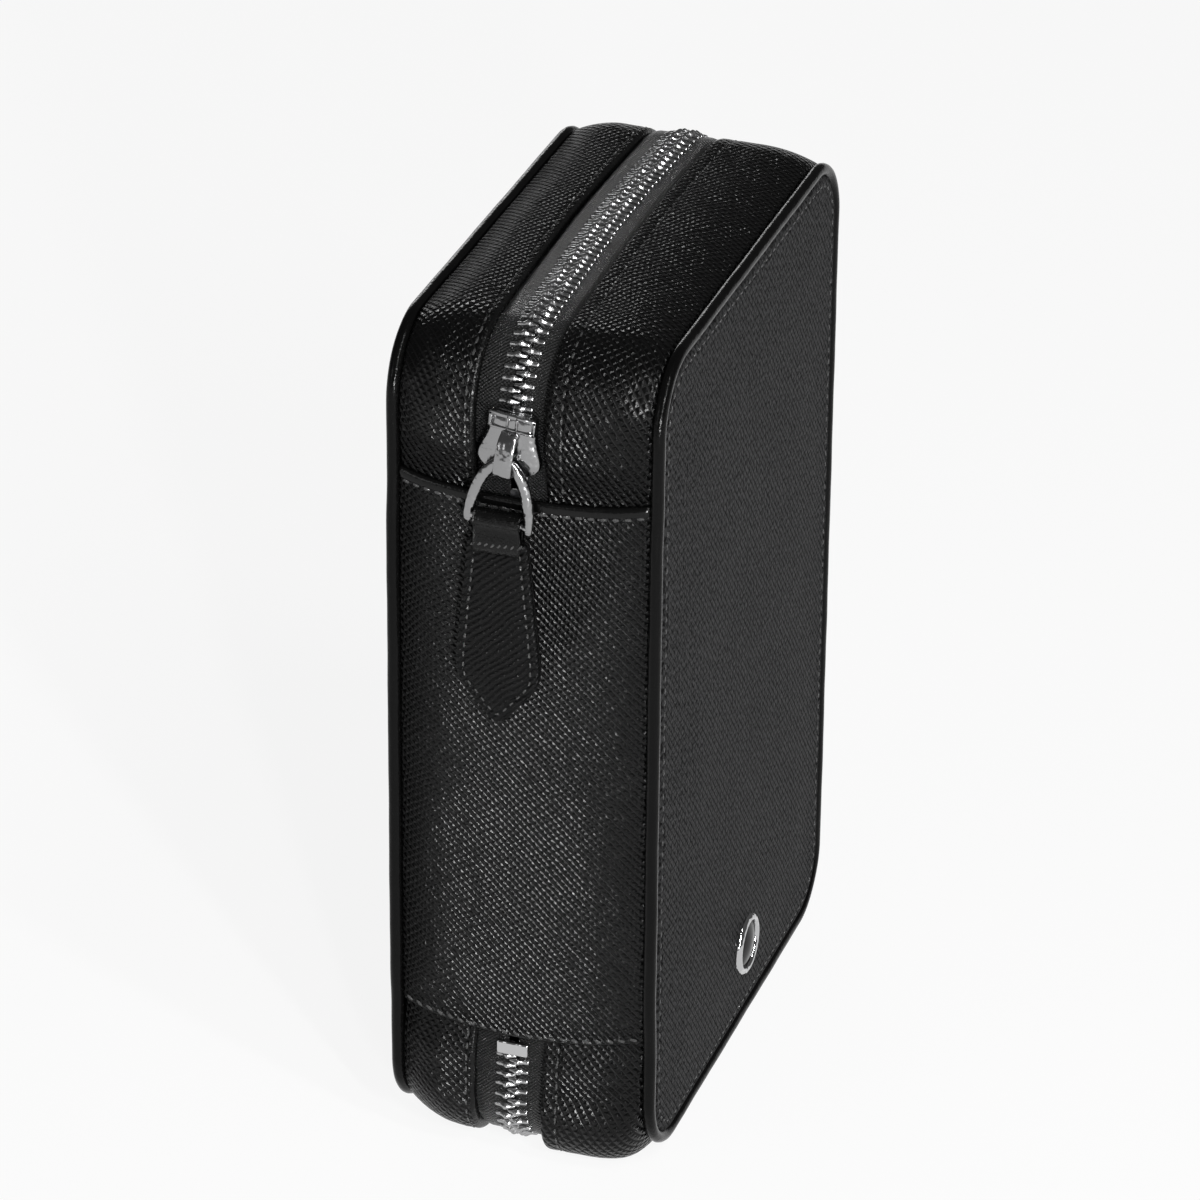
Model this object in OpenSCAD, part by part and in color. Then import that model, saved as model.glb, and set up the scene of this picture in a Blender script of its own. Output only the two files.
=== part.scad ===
// Zip-around pen case that stands on its end.
//
// Millimetres, +Z up. The case stands on its narrow bottom side. The spine, with the zip's
// slider and pull, faces -X. The front half is at -Y and the back half at +Y.
// The two halves fold about two upright lines on the spine, one each side of its middle strip.

/* [Case] */
// Width of one piped face
case_w = 107; // [96:1:125]
// Height of one piped face
case_h = 166.5; // [150:0.5:190]
// Depth of the closed case over both pipings
case_d = 52.5; // [48:0.5:60]
// Corner radius of the piped face
corner_r = 14; // [12:0.5:18]
// Diameter of the piping bead
bead_d = 2.5; // [2:0.1:3]
// How far the gussets swell past the piped outline
bulge = 1.8; // [1.2:0.1:2.5]

/* [Spine] */
// Height of the spine panel's lower seam above the piped outline
seam_low = 25.5; // [22:0.5:32]
// Drop of the spine panel's upper seam below the piped outline
seam_drop = 28; // [26:0.5:34]
// Half width of the spine's middle strip, from the zip line to a fold
fold_half = 9.6; // [9.4:0.1:10.5]
// How far the spine stands past the piped outline
spine_rise = 0.8; // [0.4:0.1:1.2]

/* [Zip] */
// Distance of the zip line behind the middle of the case
zip_shift = 1.6; // [0:0.1:2]
// Bare tape from the zip line to the front leather edge
front_gap = 6.3; // [6.3:0.1:7]
// Bare tape from the zip line to the back leather edge
back_gap = 7; // [6.3:0.1:8]
// Distance between teeth of one row
tooth_pitch = 2; // [1.8:0.1:2.4]

/* [Pull] */
// Length of the leather pull below its loop
pull_l = 37; // [30:1:42]
// Greatest width of the leather pull
pull_w = 15.9; // [13:0.1:16]
// Distance between the centres of the ring's upper and lower bars
ring_l = 11.4; // [10:0.2:13]

/* [Emblem] */
// Diameter of the plain metal button on the front
emblem_d = 12.4; // [10:0.2:16]
// Height of its centre above the piped outline's bottom edge
emblem_up = 17.5; // [14:0.5:24]
// Distance of its centre from the panel's middle, away from the spine
emblem_side = 3; // [-10:0.5:10]

/* [Hidden] */
$fn = 48;

// Materials' thicknesses
leather_t = 1.4;
wall_board_t = 0.9;
panel_board_t = 1.4;
lining_t = 0.6;
welt_t = 0.3;
welt_w = 4;
// The boards and linings of the spine and the gussets stop this far apart at a seam
seam_clear = 0.3;
tape_t = 0.6;

// Outline and depths
bead_r = bead_d / 2;
mid_z = case_h / 2 + bulge;
corner_u = case_w / 2 - corner_r;
corner_v = case_h / 2 - corner_r;
front_depth = case_d / 2 + zip_shift;
back_depth = case_d / 2 - zip_shift;
// How far a panel's face stands past the bead's centre
panel_rise = 0.9;

// Gusset section: its crest is flattened where the case stands, and its valley meets the bead
foot_flat = 0.06;
valley_drop = 0.5;
crest_share = 0.38;

// Spine levels, measured outward from the piped outline
spine_low = seam_low - case_h / 2;
spine_high = case_h / 2 - seam_drop;
spine_inner = spine_rise - leather_t - wall_board_t - lining_t;

// Zip
chain_o = -0.7;
tooth_h = 2.2;
tooth_t = 1.1;
tooth_near = 0.15;
tooth_far = 2.8;
tape_near = 1;
tape_tuck = 3.2;
board_clear = 0.5;
lining_clear = 0.1;
tape_half = 5.6;
stop_l = 2.9;
stop_w = 6.3;
// The rows of the halves start past the slider, this far round the upper spine corner
row_start_deg = 14;

// Slider, in heights above the case's middle
slider_l = 12.1;
slider_mid = case_h / 2 - corner_r - 3.4;
slider_back = slider_mid + slider_l / 2;
slider_front = slider_mid - slider_l / 2;
slider_rear_w = 8.8;
slider_shoulder_w = 11.9;
plate_t = 1.4;
top_plate_o = 0.6;
low_plate_o = -3.4;
flange_gap = 0.2;

// Ring and pull hang in one plane this far outside the piped outline
hang_o = 3.5;
wire_r = 0.8;
leg_r = 0.85;
leg_t = 1.5;
ring_shoulder = 3.1;
ring_v = slider_front + 2.9;
bar_v = ring_v - ring_l;
ring_half = 5.6;
loop_side_gap = 0.65;
loop_w = 2 * (ring_half - leg_r - loop_side_gap);
loop_r = 1.95;
loop_play = 0.06;
layer_t = 1.2;
pull_top_w = 11.2;
pull_top_v = bar_v - 3.8;
pull_tip_h = 8;

// Inside
pad_t = 1.6;
ridge_h = 6;
ridge_w = 3.2;
slot_count = 5;
tray_margin = 7;
slot_pitch = (case_w - 2 * tray_margin) / slot_count;
pad_inset = 13;
pad_half_l = case_h / 2 - pad_inset;
strap_t = 0.9;
strap_w = 14;
strap_v = 38;
page_t = 1.6;
page_inset = 18.5;
page_half_l = case_h / 2 - page_inset;
page_gap = 0.1;

// The slider and pull stand out on the spine side, so the case is moved to centre the whole
case_x = (hang_o + 1.7 - bulge) / 2;

// ---- Placing ----

// A half is drawn flat: x across, y up the case, z outward from the zip line.
module front_half() {
    translate([case_x, zip_shift, mid_z])
        rotate([90, 0, 0])
            children();
}

module back_half() {
    translate([case_x, zip_shift, mid_z])
        mirror([0, 1, 0])
            rotate([90, 0, 0])
                children();
}

// Spine pieces are drawn flat: x across, y up, z outward from the piped outline.
module on_spine() {
    translate([case_x - case_w / 2, zip_shift, mid_z])
        rotate([90, 0, -90])
            children();
}

// ---- Shared shapes ----

module rounded_rect(w, h, r) {
    square([w - 2 * r, h], center = true);
    square([w, h - 2 * r], center = true);
    for (sx = [-1, 1], sy = [-1, 1])
        translate([sx * (w / 2 - r), sy * (h / 2 - r)])
            circle(r = r);
}

// Plate of the piped outline, drawn in by inset.
module plate(inset, from_d, to_d) {
    translate([0, 0, from_d])
        linear_extrude(to_d - from_d)
            rounded_rect(case_w - 2 * inset, case_h - 2 * inset, corner_r - inset);
}

// A section is drawn with x outward from the outline and y outward from the zip line.
module along_side(turn, reach, from_v, to_v) {
    rotate([0, 0, turn])
        translate([reach, (from_v + to_v) / 2, 0])
            rotate([90, 0, 0])
                linear_extrude(to_v - from_v, center = true)
                    children();
}

module round_corner(sx, sy, from_deg, sweep_deg) {
    translate([sx * corner_u, sy * corner_v, 0])
        rotate([0, 0, from_deg])
            rotate_extrude(angle = sweep_deg)
                translate([corner_r, 0])
                    children();
}

// Right side, top and bottom with the two corners away from the spine.
module three_sides() {
    along_side(0, case_w / 2, -corner_v, corner_v)
        children();
    along_side(90, case_h / 2, -corner_u, corner_u)
        children();
    along_side(270, case_h / 2, -corner_u, corner_u)
        children();
    round_corner(1, 1, 0, 90)
        children();
    round_corner(1, -1, 270, 90)
        children();
}

// Everything but the spine panel's stretch of the spine side.
module up_to_seams() {
    three_sides()
        children();
    round_corner(-1, 1, 90, 90)
        children();
    round_corner(-1, -1, 180, 90)
        children();
    along_side(180, case_w / 2, -corner_v, -spine_high)
        children();
    along_side(180, case_w / 2, -spine_low, corner_v)
        children();
}

// The spine panel's stretch, or the same drawn in at both seams.
module between_seams(inset = 0) {
    along_side(180, case_w / 2, -spine_high + inset, -spine_low - inset)
        children();
}

module all_round() {
    three_sides()
        children();
    round_corner(-1, 1, 90, 90)
        children();
    round_corner(-1, -1, 180, 90)
        children();
    along_side(180, case_w / 2, -corner_v, corner_v)
        children();
}

// Layer of a wall that swells as one arc: outer and inner are depths below its surface.
module arc_band(middle_d, crest_o, radius, outer, inner, from_d, to_d) {
    intersection() {
        translate([crest_o - radius, middle_d])
            difference() {
                circle(r = radius - outer);
                circle(r = radius - inner);
            }
        translate([-corner_r / 2, from_d])
            square([corner_r / 2 + bulge, to_d - from_d]);
    }
}

function arc_radius(reach, drop) = (reach * reach + drop * drop) / (2 * drop);

module gusset_band(depth, gap, outer, inner, from_d, to_d) {
    valley = depth - bead_d;
    middle_d = gap + crest_share * (valley - gap);
    radius = arc_radius(valley - middle_d, bulge + valley_drop);
    arc_band(middle_d, bulge + foot_flat, radius, outer, inner, from_d, to_d);
}

module spine_band(depth, outer, inner, from_d, to_d) {
    radius = arc_radius(depth - bead_d - fold_half, spine_rise + valley_drop);
    arc_band(fold_half, spine_rise, radius, outer, inner, from_d, to_d);
}

// ---- Pieces that both halves have ----

module bead_ring(depth) {
    all_round()
        translate([-bead_r, depth - bead_r])
            circle(r = bead_r);
}

// Cord-filled bead with the flat welt that is sewn under the panel.
module piping(depth) {
    color([0.03, 0.03, 0.03]) {
        bead_ring(depth);
        difference() {
            plate(bead_r, board_top(depth), panel_base(depth));
            plate(bead_r + welt_w, depth - bead_d, depth);
        }
    }
}

module panel(depth) {
    color([0.07, 0.07, 0.075])
        difference() {
            plate(bead_r * 1.6, panel_base(depth), panel_top(depth));
            bead_ring(depth);
        }
}

module gusset(depth, gap) {
    color([0.07, 0.07, 0.075])
        up_to_seams()
            gusset_band(depth, gap, 0, leather_t, gap, depth - bead_d);
}

module spine_edge(depth) {
    color([0.07, 0.07, 0.075])
        between_seams()
            spine_band(depth, 0, leather_t, fold_half, depth - bead_d);
}

// Depths of a panel's layers, from its face inward
function panel_top(depth) = depth - bead_r + panel_rise;
function panel_base(depth) = panel_top(depth) - leather_t;
function board_top(depth) = panel_base(depth) - welt_t;
function board_base(depth) = board_top(depth) - panel_board_t;
function lining_base(depth) = board_base(depth) - lining_t;

module panel_board(depth) {
    color([0.35, 0.32, 0.28])
        plate(bead_d + 0.3, board_base(depth), board_top(depth));
}

module panel_lining(depth) {
    color([0.16, 0.16, 0.17])
        plate(bead_d + 1.8, lining_base(depth), board_base(depth));
}

module wall_board(depth, gap) {
    color([0.35, 0.32, 0.28]) {
        up_to_seams()
            gusset_band(
                depth, gap,
                leather_t, leather_t + wall_board_t,
                gap + tape_tuck + board_clear, lining_base(depth)
            );
        between_seams(seam_clear)
            spine_band(
                depth,
                leather_t, leather_t + wall_board_t,
                fold_half, lining_base(depth)
            );
    }
}

module wall_lining(depth, gap) {
    color([0.16, 0.16, 0.17]) {
        up_to_seams()
            gusset_band(
                depth, gap,
                leather_t + wall_board_t, leather_t + wall_board_t + lining_t,
                gap + tape_tuck + lining_clear, lining_base(depth)
            );
        between_seams(seam_clear)
            spine_band(
                depth,
                leather_t + wall_board_t, leather_t + wall_board_t + lining_t,
                fold_half, lining_base(depth)
            );
    }
}

module zip_tape(gap) {
    color([0.05, 0.05, 0.05]) {
        three_sides()
            tape_section(gap);
        round_corner(-1, 1, 90, 90 - row_start_deg)
            tape_section(gap);
        round_corner(-1, -1, 180, 90)
            tape_section(gap);
    }
}

module tape_section(gap) {
    translate([chain_o - tape_t / 2, tape_near])
        square([tape_t, gap + tape_tuck - tape_near]);
}

module tooth() {
    translate([chain_o - tooth_h / 2, -tooth_t / 2, tooth_near])
        cube([tooth_h, tooth_t, tooth_far - tooth_near]);
}

module teeth_on_side(turn, reach, length) {
    count = floor(length / tooth_pitch);
    for (i = [0 : count - 1])
        rotate([0, 0, turn])
            translate([reach, (i + 0.5) * length / count - length / 2, 0])
                tooth();
}

module teeth_on_corner(sx, sy, from_deg, sweep_deg) {
    count = floor(PI * corner_r * sweep_deg / 180 / tooth_pitch);
    for (i = [0 : count - 1])
        translate([sx * corner_u, sy * corner_v, 0])
            rotate([0, 0, from_deg + (i + 0.5) * sweep_deg / count])
                translate([corner_r, 0, 0])
                    tooth();
}

module zip_teeth() {
    color([0.75, 0.75, 0.77]) {
        teeth_on_side(0, case_w / 2, 2 * corner_v);
        teeth_on_side(90, case_h / 2, 2 * corner_u);
        teeth_on_side(270, case_h / 2, 2 * corner_u);
        teeth_on_corner(1, 1, 0, 90);
        teeth_on_corner(1, -1, 270, 90);
        teeth_on_corner(-1, 1, 90, 90 - row_start_deg);
        teeth_on_corner(-1, -1, 180, 90);
    }
}

// Padded tray: rounded ridges keep the pens apart.
module pen_pad(depth) {
    base_d = lining_base(depth) - pad_t;
    color([0.12, 0.12, 0.13])
        rotate([90, 0, 0])
            linear_extrude(2 * pad_half_l, center = true) {
                translate([-slot_pitch * slot_count / 2 - ridge_w / 2, base_d])
                    square([slot_pitch * slot_count + ridge_w, pad_t]);
                for (i = [0 : slot_count])
                    translate([(i - slot_count / 2) * slot_pitch, base_d - ridge_h])
                        ridge_section();
            }
}

module ridge_section() {
    translate([-ridge_w / 2, ridge_w / 4])
        square([ridge_w, ridge_h]);
    translate([-ridge_w / 4, 0])
        square([ridge_w / 2, ridge_h]);
    for (s = [-1, 1])
        translate([s * ridge_w / 4, ridge_w / 4])
            circle(r = ridge_w / 4);
}

// Elastic strap over the ridges, its ends sewn down outside the tray.
module strap(depth, v) {
    low_d = lining_base(depth) - pad_t - ridge_h - strap_t;
    half_w = (slot_pitch * slot_count + ridge_w) / 2 + strap_t;
    color([0.08, 0.08, 0.08])
        translate([0, v, 0])
            rotate([90, 0, 0])
                linear_extrude(strap_w, center = true) {
                    translate([-half_w, low_d])
                        square([2 * half_w, strap_t]);
                    for (s = [-1, 1])
                        translate([s * (half_w - strap_t / 2) - strap_t / 2, low_d])
                            square([strap_t, lining_base(depth) - low_d]);
                }
}

// ---- Front half ----

module front_panel() {
    front_half()
        panel(front_depth);
}

module front_piping() {
    front_half()
        piping(front_depth);
}

module front_gusset() {
    front_half()
        gusset(front_depth, front_gap);
}

module front_spine_edge() {
    front_half()
        spine_edge(front_depth);
}

module front_panel_board() {
    front_half()
        panel_board(front_depth);
}

module front_wall_board() {
    front_half()
        wall_board(front_depth, front_gap);
}

module front_panel_lining() {
    front_half()
        panel_lining(front_depth);
}

module front_wall_lining() {
    front_half()
        wall_lining(front_depth, front_gap);
}

module front_zip_tape() {
    front_half()
        zip_tape(front_gap);
}

module front_zip_teeth() {
    front_half()
        zip_teeth();
}

module front_pen_pad() {
    front_half()
        pen_pad(front_depth);
}

module front_upper_strap() {
    front_half()
        strap(front_depth, strap_v);
}

module front_lower_strap() {
    front_half()
        strap(front_depth, -strap_v);
}

// Plain button: a rolled rim round a shallow dome.
module at_emblem() {
    front_half()
        translate([emblem_side, emblem_up - case_h / 2, panel_top(front_depth)])
            children();
}

module emblem_rim() {
    rim_r = 0.6;
    color([0.8, 0.8, 0.82])
        at_emblem()
            rotate_extrude() {
                translate([emblem_d / 2 - rim_r, rim_r])
                    circle(r = rim_r);
                translate([emblem_d / 2 - 2 * rim_r, 0])
                    square([rim_r * 1.4, rim_r]);
            }
}

module emblem_dome() {
    rim_r = 0.6;
    dome_h = 0.75;
    dome_base = 0.35;
    dome_w = emblem_d / 2 - 2 * rim_r;
    dome_r = arc_radius(dome_w, dome_h);
    color([0.7, 0.7, 0.72])
        at_emblem()
            rotate_extrude()
                intersection() {
                    translate([0, dome_base + dome_h - dome_r])
                        circle(r = dome_r, $fn = 180);
                    square([dome_w, dome_base + dome_h]);
                }
}

// ---- Back half ----

module back_panel() {
    back_half()
        panel(back_depth);
}

module back_piping() {
    back_half()
        piping(back_depth);
}

module back_gusset() {
    back_half()
        gusset(back_depth, back_gap);
}

module back_spine_edge() {
    back_half()
        spine_edge(back_depth);
}

module back_panel_board() {
    back_half()
        panel_board(back_depth);
}

module back_wall_board() {
    back_half()
        wall_board(back_depth, back_gap);
}

module back_panel_lining() {
    back_half()
        panel_lining(back_depth);
}

module back_wall_lining() {
    back_half()
        wall_lining(back_depth, back_gap);
}

module back_zip_tape() {
    back_half()
        zip_tape(back_gap);
}

module back_zip_teeth() {
    back_half()
        zip_teeth();
}

module back_pen_pad() {
    back_half()
        pen_pad(back_depth);
}

module back_upper_strap() {
    back_half()
        strap(back_depth, strap_v);
}

module back_lower_strap() {
    back_half()
        strap(back_depth, -strap_v);
}

// ---- Spine ----

// Layer of the middle strip between two levels.
module spine_layer(from_o, to_o) {
    on_spine()
        translate([-fold_half, spine_low, from_o])
            cube([2 * fold_half, spine_high - spine_low, to_o - from_o]);
}

module spine_strip() {
    color([0.07, 0.07, 0.075])
        spine_layer(spine_rise - leather_t, spine_rise);
}

module spine_board() {
    color([0.35, 0.32, 0.28])
        spine_layer(spine_inner + lining_t, spine_rise - leather_t);
}

module spine_lining() {
    color([0.16, 0.16, 0.17])
        spine_layer(spine_inner, spine_inner + lining_t);
}

// Two tapes side by side, on the spine's own stretch of the zip.
module end_tapes(from_v, to_v) {
    on_spine()
        for (s = [0, 1])
            mirror([s, 0, 0])
                translate([tape_near, from_v, chain_o - tape_t / 2])
                    cube([tape_half - tape_near, to_v - from_v, tape_t]);
}

module end_teeth(from_v, to_v) {
    count = floor((to_v - from_v) / tooth_pitch);
    on_spine()
        for (s = [0, 1], i = [0 : count - 1])
            mirror([s, 0, 0])
                translate([
                    tooth_near,
                    from_v + (i + 0.5) * tooth_pitch - tooth_t / 2,
                    chain_o - tooth_h / 2
                ])
                    cube([tooth_far - tooth_near, tooth_t, tooth_h]);
}

module zip_head_tape() {
    color([0.05, 0.05, 0.05])
        end_tapes(spine_high, slider_back - 0.2);
}

module zip_head_teeth() {
    color([0.75, 0.75, 0.77])
        end_teeth(slider_front + 4, slider_back);
}

// Two crimped stops that the slider's mouth meets when the case is shut.
module zip_top_stops() {
    color([0.75, 0.75, 0.77])
        on_spine()
            for (s = [0, 1])
                mirror([s, 0, 0])
                    translate([0.5, slider_front - 2, chain_o - tooth_h / 2])
                        cube([2.2, 1.7, tooth_h]);
}

module zip_foot_tape() {
    color([0.05, 0.05, 0.05])
        end_tapes(-corner_v, spine_low);
}

module zip_foot_teeth() {
    color([0.75, 0.75, 0.77])
        end_teeth(-corner_v, spine_low - 2.8 - stop_l);
}

// Rectangular stop that joins both tapes.
module zip_bottom_stop() {
    color([0.8, 0.8, 0.82])
        on_spine()
            translate([-stop_w / 2, spine_low - 2.6 - stop_l, chain_o - tooth_h / 2 - 0.1])
                cube([stop_w, stop_l, tooth_h + 0.3]);
}

// Soft page between the two rows of pens, with a rolled edge at the spine.
module divider_page() {
    roll_r = page_t / 2;
    hinge_o = spine_inner - page_gap - roll_r;
    page_w = case_w - 10;
    color([0.16, 0.16, 0.17])
        on_spine() {
            translate([0, (spine_low + spine_high) / 2, hinge_o])
                rotate([90, 0, 0])
                    cylinder(r = roll_r, h = spine_high - spine_low - 6, center = true);
            translate([-page_t / 2, 0, hinge_o])
                rotate([0, 90, 0])
                    linear_extrude(page_t)
                        translate([page_w / 2, 0])
                            rounded_rect(page_w, 2 * page_half_l, corner_r);
        }
}

// ---- Slider and pull ----

module slider_outline() {
    polygon([
        [-slider_rear_w / 2, slider_back],
        [-slider_rear_w / 2, slider_mid + 2.6],
        [-slider_shoulder_w / 2, slider_mid - 2.4],
        [-slider_shoulder_w / 2, slider_mid - 3.9],
        [-slider_shoulder_w / 2 + 1.8, slider_front],
        [slider_shoulder_w / 2 - 1.8, slider_front],
        [slider_shoulder_w / 2, slider_mid - 3.9],
        [slider_shoulder_w / 2, slider_mid - 2.4],
        [slider_rear_w / 2, slider_mid + 2.6],
        [slider_rear_w / 2, slider_back]
    ]);
}

// Side flanges of a plate; the chain runs between them.
module slider_flanges() {
    difference() {
        slider_outline();
        translate([-tooth_far - 0.3, slider_front - 1])
            square([2 * tooth_far + 0.6, slider_l + 2]);
    }
}

module slider_body() {
    tape_top = chain_o + tape_t / 2 + flange_gap;
    tape_low = chain_o - tape_t / 2 - flange_gap;
    color([0.8, 0.8, 0.82])
        on_spine() {
            translate([0, 0, top_plate_o])
                linear_extrude(plate_t)
                    slider_outline();
            translate([0, 0, low_plate_o])
                linear_extrude(plate_t)
                    slider_outline();
            translate([0, 0, tape_top])
                linear_extrude(top_plate_o - tape_top)
                    slider_flanges();
            translate([0, 0, low_plate_o + plate_t])
                linear_extrude(tape_low - low_plate_o - plate_t)
                    slider_flanges();
            // Wedge that parts the two rows
            translate([0, 0, low_plate_o])
                linear_extrude(top_plate_o + plate_t - low_plate_o)
                    polygon([
                        [0, slider_front + 3.6],
                        [-0.8, slider_front + 1.8],
                        [0, slider_front + 0.2],
                        [0.8, slider_front + 1.8]
                    ]);
            // Raised frame round the rear mouth
            translate([-slider_rear_w / 2, slider_back - 3, top_plate_o + plate_t])
                cube([slider_rear_w, 3, 0.5]);
        }
}

// Arch that holds the ring. Its slot leaves the upper bar room to turn.
module slider_bridge() {
    bridge_w = 3.8;
    bridge_top = hang_o + 1.7;
    base_o = top_plate_o + plate_t;
    from_v = slider_front + 0.2;
    to_v = slider_back - 3.1;
    end_r = 1.6;
    color([0.8, 0.8, 0.82])
        on_spine()
            rotate([90, 0, 90])
                linear_extrude(bridge_w, center = true)
                    difference() {
                        union() {
                            translate([from_v, base_o])
                                square([to_v - from_v, bridge_top - base_o - end_r]);
                            translate([from_v + end_r, base_o])
                                square([to_v - from_v - 2 * end_r, bridge_top - base_o]);
                            for (v = [from_v + end_r, to_v - end_r])
                                translate([v, bridge_top - end_r])
                                    circle(r = end_r);
                        }
                        translate([ring_v - wire_r - 0.3, base_o])
                            square([5.4, hang_o + wire_r + 0.15 - base_o]);
                    }
}

// Round bar between two points of the ring's plane.
module ring_bar(a, b) {
    length = norm(b - a);
    translate([a[0], a[1], hang_o])
        rotate([0, 0, atan2(b[1] - a[1], b[0] - a[0])])
            rotate([0, 90, 0])
                cylinder(r = wire_r, h = length);
}

// Flat leg between the bars, round at both ends.
module ring_leg(a, b) {
    length = norm(b - a);
    translate([0, 0, hang_o - leg_t / 2])
        linear_extrude(leg_t) {
            for (p = [a, b])
                translate(p)
                    circle(r = leg_r);
            translate(a)
                rotate(atan2(b[1] - a[1], b[0] - a[0]))
                    translate([0, -leg_r])
                        square([length, 2 * leg_r]);
        }
}

module pull_ring() {
    color([0.82, 0.82, 0.84])
        on_spine() {
            ring_bar([-ring_shoulder, ring_v], [ring_shoulder, ring_v]);
            ring_bar([-ring_half, bar_v], [ring_half, bar_v]);
            for (s = [-1, 1])
                ring_leg([s * ring_shoulder, ring_v], [s * ring_half, bar_v]);
        }
}

// Leather turned round the ring's lower bar.
module pull_loop() {
    color([0.05, 0.05, 0.05])
        on_spine()
            rotate([90, 0, 90])
                linear_extrude(loop_w, center = true)
                    difference() {
                        union() {
                            translate([bar_v, hang_o])
                                circle(r = loop_r);
                            translate([pull_top_v, hang_o - layer_t])
                                square([bar_v - pull_top_v, 2 * layer_t]);
                        }
                        translate([bar_v, hang_o])
                            circle(r = wire_r + loop_play);
                    }
}

// Outline of the pull: it widens downward and ends in a blunt point.
module pull_outline() {
    low_v = pull_top_v - pull_l;
    knee_v = low_v + pull_tip_h;
    polygon([
        [-pull_top_w / 2, pull_top_v],
        [-pull_w / 2, knee_v + 4],
        [-pull_w / 2 + 0.2, knee_v],
        [-1, low_v],
        [1, low_v],
        [pull_w / 2 - 0.2, knee_v],
        [pull_w / 2, knee_v + 4],
        [pull_top_w / 2, pull_top_v]
    ]);
}

module pull_outer_leather() {
    color([0.07, 0.07, 0.075])
        on_spine()
            translate([0, 0, hang_o])
                linear_extrude(layer_t)
                    pull_outline();
}

module pull_inner_leather() {
    color([0.06, 0.06, 0.065])
        on_spine()
            translate([0, 0, hang_o - layer_t])
                linear_extrude(layer_t)
                    pull_outline();
}

// ---- Drawing ----

front_panel();
front_piping();
front_gusset();
front_spine_edge();
front_panel_board();
front_wall_board();
front_panel_lining();
front_wall_lining();
front_zip_tape();
front_zip_teeth();
front_pen_pad();
front_upper_strap();
front_lower_strap();
emblem_rim();
emblem_dome();
back_panel();
back_piping();
back_gusset();
back_spine_edge();
back_panel_board();
back_wall_board();
back_panel_lining();
back_wall_lining();
back_zip_tape();
back_zip_teeth();
back_pen_pad();
back_upper_strap();
back_lower_strap();
spine_strip();
spine_board();
spine_lining();
zip_head_tape();
zip_head_teeth();
zip_top_stops();
zip_foot_tape();
zip_foot_teeth();
zip_bottom_stop();
divider_page();
slider_body();
slider_bridge();
pull_ring();
pull_loop();
pull_outer_leather();
pull_inner_leather();
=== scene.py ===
"""Zip-around pen case: the visual model, its materials, light and camera."""
import math

import bmesh
import bpy
import numpy as np
from mathutils import Matrix, Vector

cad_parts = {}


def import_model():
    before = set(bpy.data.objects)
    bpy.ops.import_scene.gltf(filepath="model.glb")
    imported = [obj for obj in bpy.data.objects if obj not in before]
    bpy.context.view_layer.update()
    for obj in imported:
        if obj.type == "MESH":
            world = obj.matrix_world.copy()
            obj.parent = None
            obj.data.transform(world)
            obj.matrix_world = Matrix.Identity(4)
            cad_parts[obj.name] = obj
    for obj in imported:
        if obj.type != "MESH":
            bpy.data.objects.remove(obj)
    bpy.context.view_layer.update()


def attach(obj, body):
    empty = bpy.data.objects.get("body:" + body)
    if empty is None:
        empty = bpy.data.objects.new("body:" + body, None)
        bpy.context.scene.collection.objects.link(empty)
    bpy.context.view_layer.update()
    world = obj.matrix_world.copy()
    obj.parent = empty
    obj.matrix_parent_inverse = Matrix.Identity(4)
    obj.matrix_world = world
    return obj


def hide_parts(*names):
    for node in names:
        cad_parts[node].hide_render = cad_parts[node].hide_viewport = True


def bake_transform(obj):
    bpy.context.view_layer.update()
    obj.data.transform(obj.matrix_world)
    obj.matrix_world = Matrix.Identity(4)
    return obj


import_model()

# ---- Sizes, in millimetres, as in the CAD ----
W, H, D = 107.0, 166.5, 52.5        # the piped outline and the closed depth
R = 14.0                            # corner radius of the outline
BEAD = 1.25                         # radius of the piping
BULGE = 1.8                         # swell of the gussets past the outline
ZIP_Y = 1.6                         # zip line, behind the middle
FOLD = 9.6                          # from the zip line to a spine fold
SPINE_O = 0.8                       # spine panel's face, outside the outline
CHAIN_O = -0.7                      # middle of the zip's teeth, outside the outline
HANG = 3.5                          # plane of the ring and the pull, outside the outline
ARCH_RISE = 1.7                     # top of the slider's bridge, outside that plane
LEATHER_T, WELT_T, LINING_T = 1.4, 0.3, 0.6
PANEL_BOARD_T, WALL_BOARD_T = 1.4, 0.9
WALL_T = LEATHER_T + WALL_BOARD_T + LINING_T
PANEL_RISE = 0.9                    # panel's face past the bead's centre
TRAY_FLOOR, TRAY_RIDGE, STRAP_T = 1.6, 6.0, 0.9
CX = (HANG + ARCH_RISE - BULGE) / 2     # middle of the outline in the row frame
MZ = H / 2 + BULGE
CU, CV = W / 2 - R, H / 2 - R           # centre of the upper corner's arc
SEAM_TOP, SEAM_LOW = H / 2 - 28.0, 25.5 - H / 2
SLIDER_MID = CV - 3.4
SLIDER_BACK, SLIDER_FRONT = SLIDER_MID + 6.05, SLIDER_MID - 6.05
RING_V = SLIDER_FRONT + 2.9             # top of the ring
BAR_V = RING_V - 11.4                   # the ring's lower bar
MM = 0.001
rng = np.random.default_rng(7)


class Half:
    """One half of the case, from the zip line out to its panel. sign is its way along Y."""

    def __init__(self, name, sign, gap, lip, drop, stitch, puff, fade, seeds):
        self.name, self.body, self.sign = name, name + "_half", sign
        self.depth = D / 2 - sign * ZIP_Y
        self.valley = self.depth - 2 * BEAD     # where the gusset meets the bead
        self.gap = gap                          # from the zip line to the leather's edge
        self.lip, self.drop = lip, drop         # width and fall of that turned edge
        self.stitch = stitch                    # from the edge to its stitches
        self.puff, self.fade = puff, fade       # swell of the lower corner, and how it fades across
        self.gusset_seed, self.panel_seed = seeds


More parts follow.
